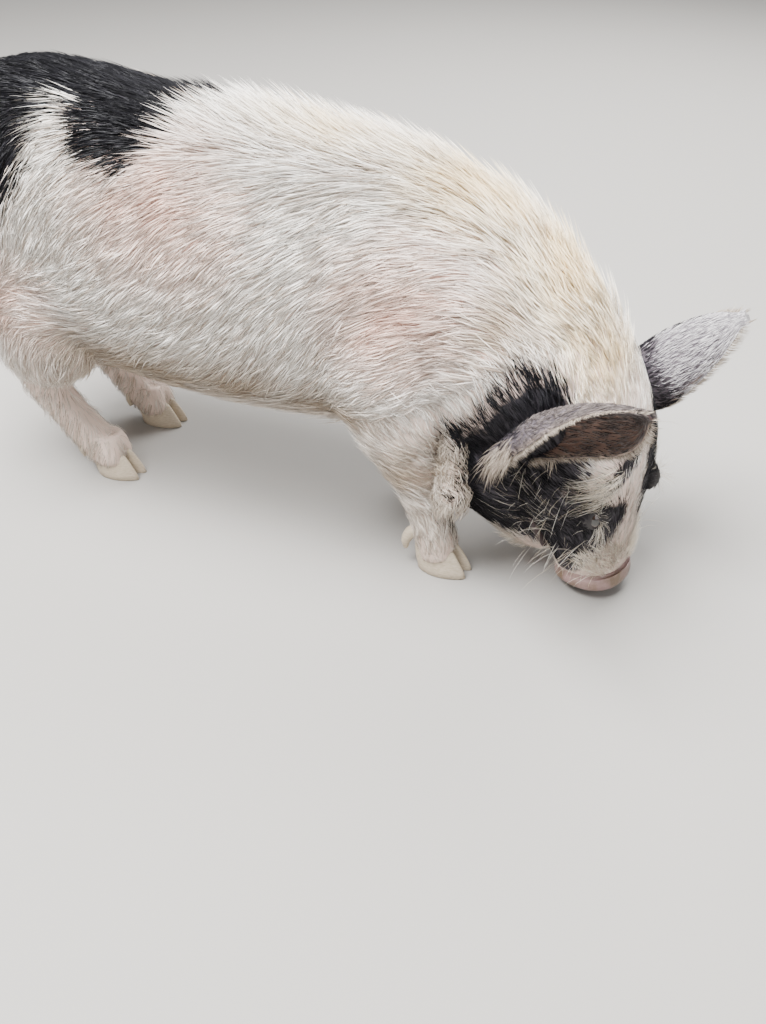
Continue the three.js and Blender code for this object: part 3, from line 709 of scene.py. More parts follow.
# Stains, tints and washes of painted shade, on the pig's own axes
CREAM = (
    ((120, -4, 392), (110, 40, 34)),
    ((220, -14, 340), (80, 46, 50)),
    ((290, -22, 280), (60, 60, 60)),
    ((330, -60, 240), (40, 60, 50)),
)
PINK = (
    ((180, -90, 280), (80, 60, 70)),
    ((-40, -80, 330), (90, 60, 70)),
    ((-210, -90, 240), (70, 60, 60)),
)
# Soil, and painted shade: the broad washes low on the flanks and belly darken where the body turns away from
# the light above, and the one high on the right of the neck darkens its crease
SOIL_AND_SHADE = (
    ((110, -100, 170), (60, 50, 46)),
    ((-90, -70, 150), (160, 90, 50)),
    ((170, -70, 120), (50, 50, 50)),
    ((206, -86, 118), (30, 26, 44)),
    ((226, 60, 118), (30, 26, 44)),
    ((240, -84, 110), (26, 26, 28)),
    ((262, -80, 262), (34, 26, 34)),
    ((30, -100, 190), (60, 60, 44)),
    ((-70, -96, 180), (150, 50, 44)),
    ((-70, 96, 180), (150, 50, 44)),
)
DARK_ROUGH = {"body": 0.45, "head": 0.7}  # how ragged the edges of the patches are
PALE_ROUGH = {"body": 0.5, "head": 0.6}
STREAK_ROUGH = 0.5
SOFT_EDGE = 0.08
PALE_SOFT_EDGE = 0.22
STREAK_SOFT_EDGE = 0.15
LOW_SOIL = 0.6  # how soiled the feet and the underside are


def markings_group():
    """Masks of the dark, cream and pink places, and of soil with painted shade, from a point on the frame's
    axes.
    """
    tree = bpy.data.node_groups.new("pig markings", "ShaderNodeTree")
    socket(tree, "Point", "NodeSocketVector", "INPUT")
    for name in ("Dark", "Cream", "Pink", "Soil"):
        socket(tree, name, "NodeSocketFloat", "OUTPUT")
    n = Nodes(tree)
    point = tree.nodes.new("NodeGroupInput").outputs["Point"]
    out = tree.nodes.new("NodeGroupOutput")
    coarse = n.noise(point, 42.0)
    fine = n.noise(point, 190.0, 2.0)
    ragged = n.math("ADD", n.math("MULTIPLY", coarse, 0.7), n.math("MULTIPLY", fine, 0.3))
    uneven = n.math("SUBTRACT", ragged, 0.5)

    def distance(place, radii, turn=(0, 0, 0)):
        """How far the point is from the middle of an ellipsoid, 1 on its surface."""
        inputs = {"Vector": point, "Location": place, "Rotation": turn, "Scale": Vector(radii) * MM}
        moved = n.add("ShaderNodeMapping", inputs, vector_type="TEXTURE").outputs[0]
        return n.add("ShaderNodeVectorMath", {0: moved}, operation="LENGTH").outputs["Value"]

    def patch(far, rough, soft):
        """1 inside a patch and 0 outside, with a ragged edge."""
        shaken = n.math("ADD", far, n.math("MULTIPLY", uneven, rough))
        return n.fade(shaken, 1 - soft, 1 + soft)

    def on_body(rows, rough, soft=SOFT_EDGE):
        return [patch(distance(placed(centre), radii), rough, soft) for centre, radii in rows]

    def on_face(rows, rough, soft=SOFT_EDGE):
        turn = HEAD_TURN.to_euler()
        far = [distance(placed(on_head(*centre)), radii, turn) for centre, radii in rows]
        return [patch(each, rough, soft) for each in far]

    def washes(rows):
        """Stains, and washes of painted shade, that fade out from their centres."""
        return [n.math("MULTIPLY", n.fade(distance(placed(centre), radii), 0.2, 1.2),
                       n.math("MULTIPLY", coarse, 2.2)) for centre, radii in rows]

    def any_of(masks):
        found = masks[0]
        for mask in masks[1:]:
            found = n.math("MAXIMUM", found, mask)
        return found

    dark = any_of(on_body(BODY_DARK, DARK_ROUGH["body"]) + on_face(HEAD_DARK, DARK_ROUGH["head"]))
    pale = on_face(HEAD_PALE, PALE_ROUGH["head"], PALE_SOFT_EDGE) + on_body(BODY_PALE, PALE_ROUGH["body"])
    streaks = any_of(on_face(HEAD_STREAKS, STREAK_ROUGH, STREAK_SOFT_EDGE))
    open_dark = n.math("MULTIPLY", dark, n.math("SUBTRACT", 1.0, any_of(pale)))
    tree.links.new(n.math("MAXIMUM", open_dark, streaks), out.inputs["Dark"])
    tree.links.new(any_of(washes(CREAM)), out.inputs["Cream"])
    tree.links.new(any_of(washes(PINK)), out.inputs["Pink"])
    height = n.add("ShaderNodeSeparateXYZ", {0: point}).outputs[2]
    drift = n.math("MULTIPLY", n.math("SUBTRACT", coarse, 0.5), 0.08)
    low = n.fade(n.math("ADD", height, drift), 0.03, 0.2)
    # Soil on the feet and the underside, with the soil and painted shade of the washes
    soil_and_shade = n.math("MAXIMUM", n.math("MULTIPLY", low, LOW_SOIL), any_of(washes(SOIL_AND_SHADE)))
    tree.links.new(soil_and_shade, out.inputs["Soil"])
    return tree


def plain_material(name, roughness, **shader):
    """A material, its nodes and its shader, with values set on the shader's own sockets."""
    material = bpy.data.materials.new(name)
    material.use_nodes = True
    principled = material.node_tree.nodes["Principled BSDF"]
    principled.inputs["Roughness"].default_value = roughness
    for key, value in shader.items():
        principled.inputs[key.replace("_", " ")].default_value = value
    return material, Nodes(material.node_tree), principled


def hair_shader(name):
    return plain_material(name, 0.5, Specular_IOR_Level=0.2)


def bristle_material(markings, colours):
    """The coat: each tuft takes its markings from its root's place and its tone by chance."""
    material, n, shader = hair_shader("bristles")
    marks = n.add("ShaderNodeGroup", {"Point": n.attribute("root", "Vector")}, node_tree=markings)
    tone = n.attribute("tone")
    # Painted shade towards the root of each tuft, where the coat shades itself
    root_shade = n.math("MULTIPLY", n.fade(n.attribute("up"), 0.0, 0.6), 0.22)
    white = n.mix(n.math("POWER", tone, 0.6), colours.white_shade, colours.white)
    white = n.mix(n.math("MULTIPLY", marks.outputs["Pink"], 0.75), white, rgb((226, 190, 174)))
    white = n.mix(root_shade, white, rgb((206, 172, 156)))
    cream = n.mix(tone, colours.cream_shade, colours.cream)
    # The colour of soil, dark enough to stand also for the painted shade on the belly and in the neck's
    # crease
    soil_and_shade = n.mix(tone, rgb((142, 124, 106)), rgb((196, 180, 160)))
    black = n.mix(tone, colours.black, colours.black_shine)
    colour = n.mix(marks.outputs["Cream"], white, cream)
    colour = n.mix(marks.outputs["Soil"], colour, soil_and_shade)
    # A second spread value for each tuft, made from its tone
    chance = n.math("FRACT", n.math("MULTIPLY", tone, 7.31))
    n.paint(shader, n.mix(n.math("GREATER_THAN", marks.outputs["Dark"], chance), colour, black))
    return material


def plain_hair(name, low, high):
    """Blades of one colour that varies between two tones."""
    material, n, shader = hair_shader(name)
    n.paint(shader, n.mix(n.attribute("tone"), rgb(low), rgb(high)))
    return material


def skin_material(markings, colours):
    material, n, shader = plain_material("skin", 0.62, Specular_IOR_Level=0.3)
    point = n.place()
    marks = n.add("ShaderNodeGroup", {"Point": point}, node_tree=markings)
    mottle = n.noise(point, 60.0, 4.0)
    pink = n.mix(mottle, colours.skin_shade, colours.skin)
    pink = n.mix(marks.outputs["Pink"], pink, rgb((224, 178, 162)))
    # Soil and painted shade from the same mask, on the skin
    pink = n.mix(n.math("MULTIPLY", marks.outputs["Soil"], 0.6), pink, rgb((176, 150, 130)))
    black = n.mix(mottle, rgb((40, 37, 42)), rgb((66, 62, 68)))
    n.paint(shader, n.mix(marks.outputs["Dark"], pink, black))
    height = n.math("ADD", n.math("MULTIPLY", n.noise(point, 900.0), 0.4), n.cells(point, 260.0))
    n.bump(shader, height, 0.35, 1.0)
    return material


def ear_material():
    """Ear skin, with its inner face and its rim told apart by attributes."""
    material, n, shader = plain_material("ear skin", 0.6, Specular_IOR_Level=0.3)
    point = n.place()
    mottle = n.noise(point, 70.0, 4.0)
    back = n.mix(mottle, rgb((70, 64, 70)), rgb((114, 106, 112)))
    front = n.mix(mottle, rgb((84, 62, 54)), rgb((124, 98, 86)))
    colour = n.mix(n.attribute("inner"), back, front)
    n.paint(shader, n.mix(n.math("MULTIPLY", n.attribute("rim"), 0.75), colour, rgb((176, 156, 142))))
    n.bump(shader, n.noise(point, 700.0), 0.3, 0.8)
    return material


def snout_material(colours):
    material, n, shader = plain_material("snout skin", 0.38, Specular_IOR_Level=0.5)
    point = n.place()
    soil = n.fade(n.noise(point, 60.0, 5.0), 0.36, 0.56)
    flesh = n.mix(n.noise(point, 110.0, 4.0), colours.snout_shade, colours.snout)
    n.paint(shader, n.mix(soil, flesh, rgb((112, 92, 74))))
    n.bump(shader, n.cells(point, 420.0), 0.5, 0.8)
    return material


def horn_material(colours):
    """Hoof horn, with growth rings across its height."""
    material, n, shader = plain_material("hoof horn", 0.55)
    stretched = n.add("ShaderNodeMapping", {"Vector": n.place(), "Scale": (260, 260, 900)}).outputs[0]
    rings = n.add("ShaderNodeTexNoise", {"Vector": stretched, "Scale": 1.0, "Detail": 3.0}).outputs[0]
    n.paint(shader, n.mix(rings, colours.horn_shade, colours.horn))
    n.bump(shader, rings, 0.4, 0.6)
    return material


def eye_material():
    """A wet eye: pupil, iris and white by the angle from the way it looks, in radians."""
    material, n, shader = plain_material("eye", 0.08, Coat_Weight=1.0, Coat_Roughness=0.03)
    angle = n.attribute("angle")
    iris = n.mix(n.fade(angle, 0.34, 0.38), rgb((52, 34, 24)), rgb((6, 5, 5)))
    n.paint(shader, n.mix(n.fade(angle, 0.72, 0.8), rgb((120, 100, 90)), iris))
    return material


def mottled_material(name, roughness, scale, low, high):
    material, n, shader = plain_material(name, roughness, Specular_IOR_Level=0.4)
    n.paint(shader, n.mix(n.noise(n.place(), scale), rgb(low), rgb(high)))
    return material


MATERIALS = {}


def material(name):
    """A finish by its short name; all are made at the first call."""
    if not MATERIALS:
        markings = markings_group()
        colours = bpy.context.scene.pig_colours
        MATERIALS.update(
            bristles=bristle_material(markings, colours),
            skin=skin_material(markings, colours),
            ear=ear_material(),
            snout=snout_material(colours),
            horn=horn_material(colours),
            eye=eye_material(),
            lids=mottled_material("lids", 0.5, 300.0, (24, 22, 24), (48, 43, 44)),
            lips=mottled_material("lips", 0.45, 160.0, (38, 32, 34), (78, 60, 60)),
            ear_hair_right=plain_hair("near ear hair", (52, 47, 49), (132, 122, 118)),
            ear_hair_left=plain_hair("far ear hair", (132, 126, 134), (236, 232, 232)),
            ear_rim_hair=plain_hair("ear rim hair", (138, 124, 112), (206, 194, 178)),
            wattle_hair=plain_hair("wattle hair", (128, 114, 100), (226, 214, 198)),
            pale=plain_hair("pale hair", (214, 198, 174), (248, 242, 230)),
            black=plain_hair("black hair", (16, 15, 18), (48, 45, 50)),
        )
    return MATERIALS[name]


# Pieces

def number_property(name, description, default):
    return IntProperty(name=name, description=description, default=default, min=1)


def length_property(name, description, millimetres):
    return FloatProperty(name=name, description=description + ", in millimetres", default=millimetres, min=0)


def colour_property(name, description, colour):
    return FloatVectorProperty(name=name, description=description, default=rgb(colour), subtype="COLOR")


class PigSizes(bpy.types.PropertyGroup):
    """Sizes of the skin's faces and the coat, and numbers of tufts"""
    voxel: FloatProperty(
        name="Skin grain", description="Edge of the skin's faces", default=0.0034, min=0.001, unit="LENGTH",
    )
    coat_length: length_property("Coat length", "Length of the bristles on the flank", 41.0)
    leg_hair: length_property("Leg hair", "Length of the hair on the lower legs", 23.0)
    face_hair: length_property("Face hair", "Length of the hair on the face", 19.0)
    crest_lift: length_property("Crest lift", "How far the bristles stand up along the back and nape", 15.0)
    body_tufts: number_property("Body tufts", "Number of tufts on the trunk and neck", 77500)
    head_tufts: number_property("Head tufts", "Number of tufts on the head", 33000)
    leg_tufts: number_property("Leg tufts", "Number of tufts on the legs", 16000)
    ear_tufts: number_property("Ear tufts", "Number of tufts on each ear", 5800)


class PigColours(bpy.types.PropertyGroup):
    """Tones of the coat, the skin, the snout and the claws"""
    white: colour_property("White", "Lightest of the white bristles", (255, 252, 246))
    white_shade: colour_property("White in shade", "Darkest of the white bristles", (166, 148, 130))
    cream: colour_property("Cream", "Lightest of the crest's cream bristles", (240, 222, 186))
    cream_shade: colour_property("Cream in shade", "Darkest of the crest's cream bristles", (212, 188, 146))
    black: colour_property("Black", "Darkest of the black bristles", (5, 5, 7))
    black_shine: colour_property("Black in light", "Lightest of the black bristles", (24, 23, 28))
    skin: colour_property("Skin", "Lighter tone of the skin under white hair", (234, 216, 206))
    skin_shade: colour_property("Skin in shade", "Darker tone of the skin under white hair", (218, 194, 182))
    snout: colour_property("Snout", "Lighter tone of the snout disc", (172, 142, 136))
    snout_shade: colour_property("Snout in shade", "Darker tone of the snout disc", (118, 94, 92))
    horn: colour_property("Horn", "Lighter tone of the claws", (208, 194, 172))
    horn_shade: colour_property("Horn in shade", "Darker tone of the claws", (150, 134, 114))


class PigStage(bpy.types.PropertyGroup):
    """Floor and light"""
    floor: FloatVectorProperty(
        name="Floor", description="Colour of the floor", default=(0.33, 0.315, 0.295), subtype="COLOR",
    )
    key: FloatProperty(
        name="Main light", description="Power of the main light in watts", default=330.0, min=0,
    )


SKIN_NODES = ("torso", "neck", "head", "tail", "wattle_right", "wattle_left", *FEET)
BODY_TUBES = (
    (TRUNK, 40, "trunk"), (NECK, 24, "trunk"), (SKULL, 30, "head"), (JAW, 20, "head"), (TAIL, 30, "limb"),
)


class PIG_OT_skin(bpy.types.Operator):
    """Make the skin of the whole body as one surface"""
    bl_idname = "pig.skin"
    bl_label = "Skin"

    def execute(self, context):
        bm = bmesh.new()
        for flesh, rows, part in BODY_TUBES:
            loft(bm, flesh.sections(rows, 36, SKIN_RISE[part]))
        for side, hind, foot, turn in FEET.values():
            loft(bm, leg_flesh(side, hind, foot).sections(30, 24, SKIN_RISE["limb"]))
            for s in (-1, 1):
                loft(bm, foot_flesh(DIGIT_FORM, foot, turn, s).sections(8, 16, SKIN_RISE["limb"]))
        for root, out in WATTLES.values():
            loft(bm, wattle_flesh(root, out).sections(18, 20))
        obj = mesh_object("skin", bm, material("skin"))
        remesh = obj.modifiers.new("one surface", "REMESH")
        remesh.mode = "VOXEL"
        remesh.voxel_size = context.scene.pig_sizes.voxel
        soften = obj.modifiers.new("soften", "SMOOTH")
        soften.factor = 0.5
        soften.iterations = 5
        applied(obj)
        obj.data.materials.clear()
        obj.data.materials.append(material("skin"))
        obj.data.shade_smooth()
        own(obj, "coat", *SKIN_NODES)
        return {"FINISHED"}


EAR_ROWS = 48
EAR_COLUMNS = 30
RIM_START = 0.86  # share across the ear where its rim starts


class PIG_OT_ears(bpy.types.Operator):
    """Make the two cupped ears"""
    bl_idname = "pig.ears"
    bl_label = "Ears"

    def execute(self, context):
        for name, ear in EARS.items():
            bm = bmesh.new()
            loft(bm, ear_sections(ear, EAR_ROWS, EAR_COLUMNS))
            column = bm.verts.layers.int["column"]
            inner = bm.verts.layers.float.new("inner")
            rim = bm.verts.layers.float.new("rim")
            for v in bm.verts:
                j = v[column]
                v[inner] = 1.0 if j > EAR_COLUMNS else 0.0
                step = j if j <= EAR_COLUMNS else 2 * EAR_COLUMNS + 1 - j
                v[rim] = max(0.0, (abs(2 * step / EAR_COLUMNS - 1) - RIM_START) / (1 - RIM_START))
            own(mesh_object(f"ear_{name}_skin", bm, material("ear")), "ear", f"ear_{name}")
        return {"FINISHED"}


# Stations of the snout disc, from its back to its front: place ahead of the face's end, then as on the head
DISC_FORM = (
    (-6, -44, 33, 33, 28), (0, -44, 35, 35, 30), (3, -43.5, 37, 36, 31), (7, -43, 37, 36, 31),
    (10, -43, 34, 33, 28), (DISC_THICKNESS, -43, 28, 27, 23),
)
NOSTRIL_PLACE = (13, -42)  # to each side, and in from the brow's line
NOSTRIL_SIZE = (9, 5, 8)


class PIG_OT_snout(bpy.types.Operator):
    """Make the snout disc with its two nostrils"""
    bl_idname = "pig.snout"
    bl_label = "Snout"

    def execute(self, context):
        disc = Flesh([head_station(SNOUT_REACH + f, *rest) for f, *rest in DISC_FORM], up=HEAD_U)
        bm = bmesh.new()
        loft(bm, disc.sections(20, 48))
        obj = mesh_object("snout_disc", bm, material("snout"))
        cutters = []
        for s in (-1, 1):
            hole = bmesh.new()
            middle = on_head(SNOUT_REACH + DISC_THICKNESS, s * NOSTRIL_PLACE[0], NOSTRIL_PLACE[1])
            size = Matrix.Diagonal([*(r * MM for r in NOSTRIL_SIZE), 1])
            form = Matrix.Translation(placed(middle)) @ HEAD_TURN.to_4x4() @ size
            bmesh.ops.create_uvsphere(hole, u_segments=24, v_segments=14, radius=1, matrix=form)
            cutters.append(mesh_object(f"nostril_{s}", hole))
            cut = obj.modifiers.new("nostril", "BOOLEAN")
            cut.operation = "DIFFERENCE"
            cut.object = cutters[-1]
        applied(obj)
        for cutter in cutters:
            bpy.data.objects.remove(cutter)
        own(obj, "snout", "snout")
        return {"FINISHED"}


MOUTH_LINE = ((150, 48, -87), (170, 43, -85), (188, 36, -82), (206, 27, -79))
LIP_SIZE = (3.6, 3.2, 3.2)


class PIG_OT_lips(bpy.types.Operator):
    """Make the lips along each side of the mouth"""
    bl_idname = "pig.lips"
    bl_label = "Lips"

    def execute(self, context):
        for side, name in ((-1, "right"), (1, "left")):
            stations = [tuple(on_head(f, side * s, u)) + LIP_SIZE for f, s, u in MOUTH_LINE]
            bm = bmesh.new()
            loft(bm, Flesh(stations, up=HEAD_U, power=2).sections(24, 16))
            own(mesh_object(f"lip_{name}", bm, material("lips")), "coat")
        return {"FINISHED"}


# Rings of the lids round an eye: how far from its middle, and their turn from the edge to where they end
LID_FORM = (
    (EYE_RADIUS - 1.2, 0), (EYE_RADIUS + 0.8, 0), (EYE_RADIUS + 1.7, 0.12), (EYE_RADIUS + 2.0, 0.3),
    (EYE_RADIUS + 2.8, 0.5), (EYE_RADIUS + 4.2, 0.75), (EYE_RADIUS + 3, 1.0),
)
LID_SIDES = 48
LID_REACH = 1.9  # angle from the way an eye looks to where its lids end
LID_OPENING = (0.78, 0.36)  # half angles of the opening, along and across it
EYE_UPWARD = 0.75


def eye_axes(at):
    """The way an eye looks, and towards its front corner and its upper lid."""
    out = (HEAD_S * math.copysign(1, at[1]) + HEAD_U * EYE_UPWARD).normalized()
    corner = (HEAD_F - out * HEAD_F.dot(out)).normalized()
    rise = (HEAD_U - out * HEAD_U.dot(out)).normalized()
    return out, corner, rise


def lid_spoke(at, a, turn):
    """A direction from the middle of an eye to its lids: turn is 0 at their edge and 1 where they end."""
    out, corner, rise = eye_axes(at)
    lateral = corner * (LID_OPENING[0] * math.cos(a)) + rise * (LID_OPENING[1] * math.sin(a))
    tilt = lateral.length + turn * (LID_REACH - lateral.length)
    return out * math.cos(tilt) + lateral.normalized() * math.sin(tilt)


class PIG_OT_eyes(bpy.types.Operator):
    """Make the eyeballs and the lids round them"""
    bl_idname = "pig.eyes"
    bl_label = "Eyes"

    def execute(self, context):
        turns = [2 * math.pi * k / LID_SIDES for k in range(LID_SIDES)]
        for name, at in EYES.items():
            out = eye_axes(at)[0]
            middle = placed(on_head(*at))
            ball = bmesh.new()
            form = Matrix.Translation(middle)
            bmesh.ops.create_uvsphere(
                ball, u_segments=40, v_segments=24, radius=EYE_RADIUS * MM, matrix=form,
            )
            angle = ball.verts.layers.float.new("angle")
            for v in ball.verts:
                v[angle] = (v.co - middle).angle(out)
            own(mesh_object(f"eyeball_{name}", ball, material("eye")), "eye", f"eye_{name}")
            lids = bmesh.new()
            rings = [(far * MM, [lid_spoke(at, a, turn) for a in turns]) for far, turn in LID_FORM]
            loft(lids, [[middle + spoke * far for spoke in spokes] for far, spokes in rings])
            own(mesh_object(f"lids_{name}", lids, material("lids")), "coat")
        return {"FINISHED"}


# Rings of a claw's horn: height, scale and shift ahead
HORN_FORM = (
    (0.0, 0.95, 0), (1.2, 1.0, 0), (7, 0.985, -1.5), (13.5, 0.95, -4), (20, 0.885, -6.3), (26, 0.82, -8.6),
    (27.2, 0.76, -9),
)
HORN_SIDES = 28
CLAW_LENGTH = 47
CLAW_AHEAD = 0.62  # share of the length ahead of the foot's middle
CLAW_BEHIND = 0.42
CLAW_WIDTH = 17.1
TOE_NARROWING = 0.32
CLEFT = 1.4  # half the gap between the claws of a foot


def claw_ring(foot, turn, side, z, scale, shift):
    """A ring of a claw's horn, straight towards its neighbour and narrower at the toe."""
    ring = []
    for j in range(HORN_SIDES):
        a = 2 * math.pi * (j + 0.5) / HORN_SIDES
        x = shift + (CLAW_AHEAD if math.cos(a) > 0 else CLAW_BEHIND) * CLAW_LENGTH * scale * math.cos(a)
        reach = CLEFT + CLAW_WIDTH * scale * (1 - TOE_NARROWING * max(0, math.cos(a)) ** 2)
        across = (CLEFT + reach) / 2 + ((reach - CLEFT) / 2) * math.sin(a)
        ring.append(placed(foot_place(foot, turn, side, x, across, z)))
    return ring


class PIG_OT_claws(bpy.types.Operator):
    """Make the claws and dewclaws of the four feet"""
    bl_idname = "pig.claws"
    bl_label = "Claws"

    def execute(self, context):
        for leg, (_, _, foot, turn) in FEET.items():
            for side, name in ((-1, "right"), (1, "left")):
                bm = bmesh.new()
                loft(bm, [claw_ring(foot, turn, side, *ring) for ring in HORN_FORM])
                own(mesh_object(f"{leg}_horn_{name}", bm, material("horn")), "hoof", f"{leg}_claw_{name}")
                bm = bmesh.new()
                loft(bm, foot_flesh(SPUR_FORM, foot, turn, side).sections(14, 16))
                own(mesh_object(f"{leg}_spur_{name}", bm, material("horn")), "hoof", f"{leg}_dewclaw_{name}")
        return {"FINISHED"}


def trunk_share(p, n):
    """Where the trunk's coat grows: thinner on the belly, and not on head and legs."""
    return (1 - in_head(p)) * (1 - in_leg(p)) * (1 - 0.5 * ramp(-0.6, -0.95, n[:, 2]))


# Each stretch of the coat: name, property with its number of tufts, their width and lift, and where it grows
COAT_PLAN = (
    ("body", "body_tufts", 0.95, 3.0, trunk_share),
    ("head", "head_tufts", 0.66, 3.0, lambda p, n: in_head(p)),
    ("legs", "leg_tufts", 0.8, 6.0, lambda p, n: in_leg(p)),
)
BATCH = 13000  # tufts in one piece
COAT_SEED = 31
DRIFT = ((0.1, 110), (0.06, 36))  # turns of the coat's lie at the root, and the size of their waves
DRIFT_CHANCE = 0.07
SWING = ((0.13, 17), (0.1, 50))  # the same for the bend towards the tip
SWING_CHANCE = 0.09
CLUMP_SHARE = 0.4
CLUMP_SIZE = 19
LENGTH_SPREAD = (0.7, 1.2)
WIDTH_SPREAD = (0.65, 1.3)
LIFT_SPREAD = (0.2, 1.3)


def wander(chance, pig, waves, bell):
    """Turns in the lie of tufts, from smooth waves over the skin and a little chance for each tuft."""
    return sum(turn * chance.waves(pig, size) for turn, size in waves) + chance.bell(len(pig), bell)


def standing(pig, normals):
    """How much the bristles stand up: 1 along the back and the nape, 0 on the flanks."""
    back = ramp(0.8, 0.98, normals[:, 2]) * ramp(-120, 40, pig[:, 0])
    across = np.abs(pig[:, 1] + 20)
    nape = ramp(0.35, 0.8, normals[:, 2]) * ramp(190, 250, pig[:, 0]) * ramp(60, 20, across)
    return np.maximum(back, nape)


class PIG_OT_coat(bpy.types.Operator):
    """Lay the bristly coat over the trunk, neck, head and legs"""
    bl_idname = "pig.coat"
    bl_label = "Coat"

    def execute(self, context):
        sizes = context.scene.pig_sizes
        skin = bpy.data.objects["skin"]
        tree = BVHTree.FromObject(skin, bpy.context.evaluated_depsgraph_get())
        for k, (name, key, width, lift, weight) in enumerate(COAT_PLAN):
            chance = Chance(COAT_SEED + k)
            count = getattr(sizes, key)
            roots, normals = scatter(skin.data, count, chance, weight)
            pig = to_pig(roots)
            lies = coat_lie(pig, normals)
            drift = wander(chance, pig, DRIFT, DRIFT_CHANCE)
            lies = unit(lies + np.cross(normals, lies) * drift[:, None])
            swing = wander(chance, pig, SWING, SWING_CHANCE)
            lengths = coat_length(pig, sizes) * chance.spread(count, *LENGTH_SPREAD)
            widths = width * chance.spread(count, *WIDTH_SPREAD) * np.clip(lengths / 30, 0.7, 1.1)
            clump = 1 + CLUMP_SHARE * chance.waves(pig, CLUMP_SIZE)
            lifts = lift * clump + sizes.crest_lift * standing(pig, normals)
            lifts = np.maximum(0.5, lifts * chance.spread(count, *LIFT_SPREAD))
            lifts = lifts * np.clip(lengths / 34, 0.35, 1.2)
            uv = skin_unwrap(pig)
            centres, across = walk(roots, normals, lies, lengths, lifts, swing, tree)
            for part, first in enumerate(range(0, count, BATCH)):
                pick = slice(first, min(count, first + BATCH))
                lines = [c[pick] for c in centres]
                obj = blades(f"coat_{name}_{part + 1}", lines, across[pick], normals[pick], widths[pick],
                             material("bristles"), chance, roots[pick], uv[pick])
                own(obj, "coat")
        return {"FINISHED"}


HAIR_SIDE = np.array([0.3, -0.7, 0.6])  # the width of a free hair is laid square to this


def strands(name, paths, widths, finish, chance):
    """A piece of free hairs along given paths, each a root, bends and a tip on the pig's own axes."""
    steps = np.array(paths, float)
    centres = [(steps[:, k] + np.array(SHIFT)) * MM for k in range(steps.shape[1])]
    along = unit(centres[-1] - centres[0])
    across = unit(np.cross(along, HAIR_SIDE))
    heights = np.cross(across, along)
    widths = np.ones(len(paths)) * widths
    uv = skin_unwrap(steps[:, 0])
    obj = blades(name, centres, across, heights, widths, material(finish), chance, centres[0], uv)
    own(obj, "coat")


EAR_SEED = 51
INNER_SHARE = 0.38  # share of an ear's hair that grows on its inner face
EAR_HAIR_WIDTH = 0.55
FRINGE_WIDTH = 0.4


def ear_tuft(ear, a, b, c, d, e):
    """A tuft on an ear, its width, and whether it is a dark one, from five draws between 0 and 1."""
    t = 0.06 + 0.92 * a ** 0.85
    share = 2 * b - 1
    inner = c < INNER_SHARE
    length = (0.075 if inner else 0.06) * (0.7 + 0.6 * d)
    lift = 0.8 + 1.6 * e
    fan = share * (1 + 0.10 * (1 - t)) + 0.04 * (d - 0.5)
    fan = max(-1, min(1, fan))
    path = (
        ear_place(ear, t, share, inner, -0.4),
        ear_place(ear, min(1.0, t + length / 2), fan, inner, 0.5 * lift),
        ear_place(ear, min(1.02, t + length), fan, inner, lift),
    )
    start, end, *_ = ear_axes(ear, t)
    beside = (path[0] - start.lerp(end, t)).dot(EAR_EDGE)
    dark = beside > ear["dark_edge"] + 6 * (d - 0.5) or t < ear["dark_root"] + 0.1 * d
    return path, EAR_HAIR_WIDTH * (0.7 + 0.6 * e), dark


def fringe_hair(ear, a, b, c, d, e):
    """A hair that stands off the rim of an ear, from five draws between 0 and 1."""
    t = 0.04 + 0.96 * a
    side = 1 if b < 0.5 else -1
    _, _, along, opening, _ = ear_axes(ear, t)
    rim = ear_place(ear, t, side * 0.97, c < 0.5)
    inward = ear_place(ear, t, side * 0.8, c < 0.5)
    out = along if t > 0.97 else (rim - inward).normalized()
    reach = (5 + 5 * d) * (1.5 if t < 0.2 else 1)
    way = (out * 0.8 + along * 0.8 + (opening * (e - 0.5)) * 0.7).normalized()
    tip = rim + way * reach + along * reach * 0.25
    return rim - out * 1.2, rim + way * reach * 0.5, tip


class PIG_OT_ear_hair(bpy.types.Operator):
    """Lay short hair on both faces of each ear, with a fringe round its rim"""
    bl_idname = "pig.ear_hair"
    bl_label = "Ear hair"

    def execute(self, context):
        count = context.scene.pig_sizes.ear_tufts
        for k, (name, ear) in enumerate(EARS.items()):
            chance = Chance(EAR_SEED + k)
            tufts = [ear_tuft(ear, *draws) for draws in chance.source.uniform(size=(count, 5))]
            for part, dark, finish in (("hair", False, f"ear_hair_{name}"), ("edge", True, "black")):
                kept = [(path, width) for path, width, mark in tufts if mark == dark]
                paths, widths = zip(*kept)
                strands(f"ear_{name}_{part}", paths, widths, finish, chance)
            fringe = [fringe_hair(ear, *draws) for draws in chance.source.uniform(size=(count // 5, 5))]
            strands(f"ear_{name}_fringe", fringe, FRINGE_WIDTH, "ear_rim_hair", chance)
        return {"FINISHED"}


LONG_HAIR_SEED = 71
LASHES = 46  # for each eye
LID_HAIRS = 520
WHISKERS = 260  # on both sides together
EAR_BASE_HAIRS = {"right": 1100, "left": 350}
WATTLE_HAIRS = 900  # on each wattle
TAIL_HAIRS = 900
SWEEP_SPREAD = 0.16  # how far the ways of the face's long hair part from one another

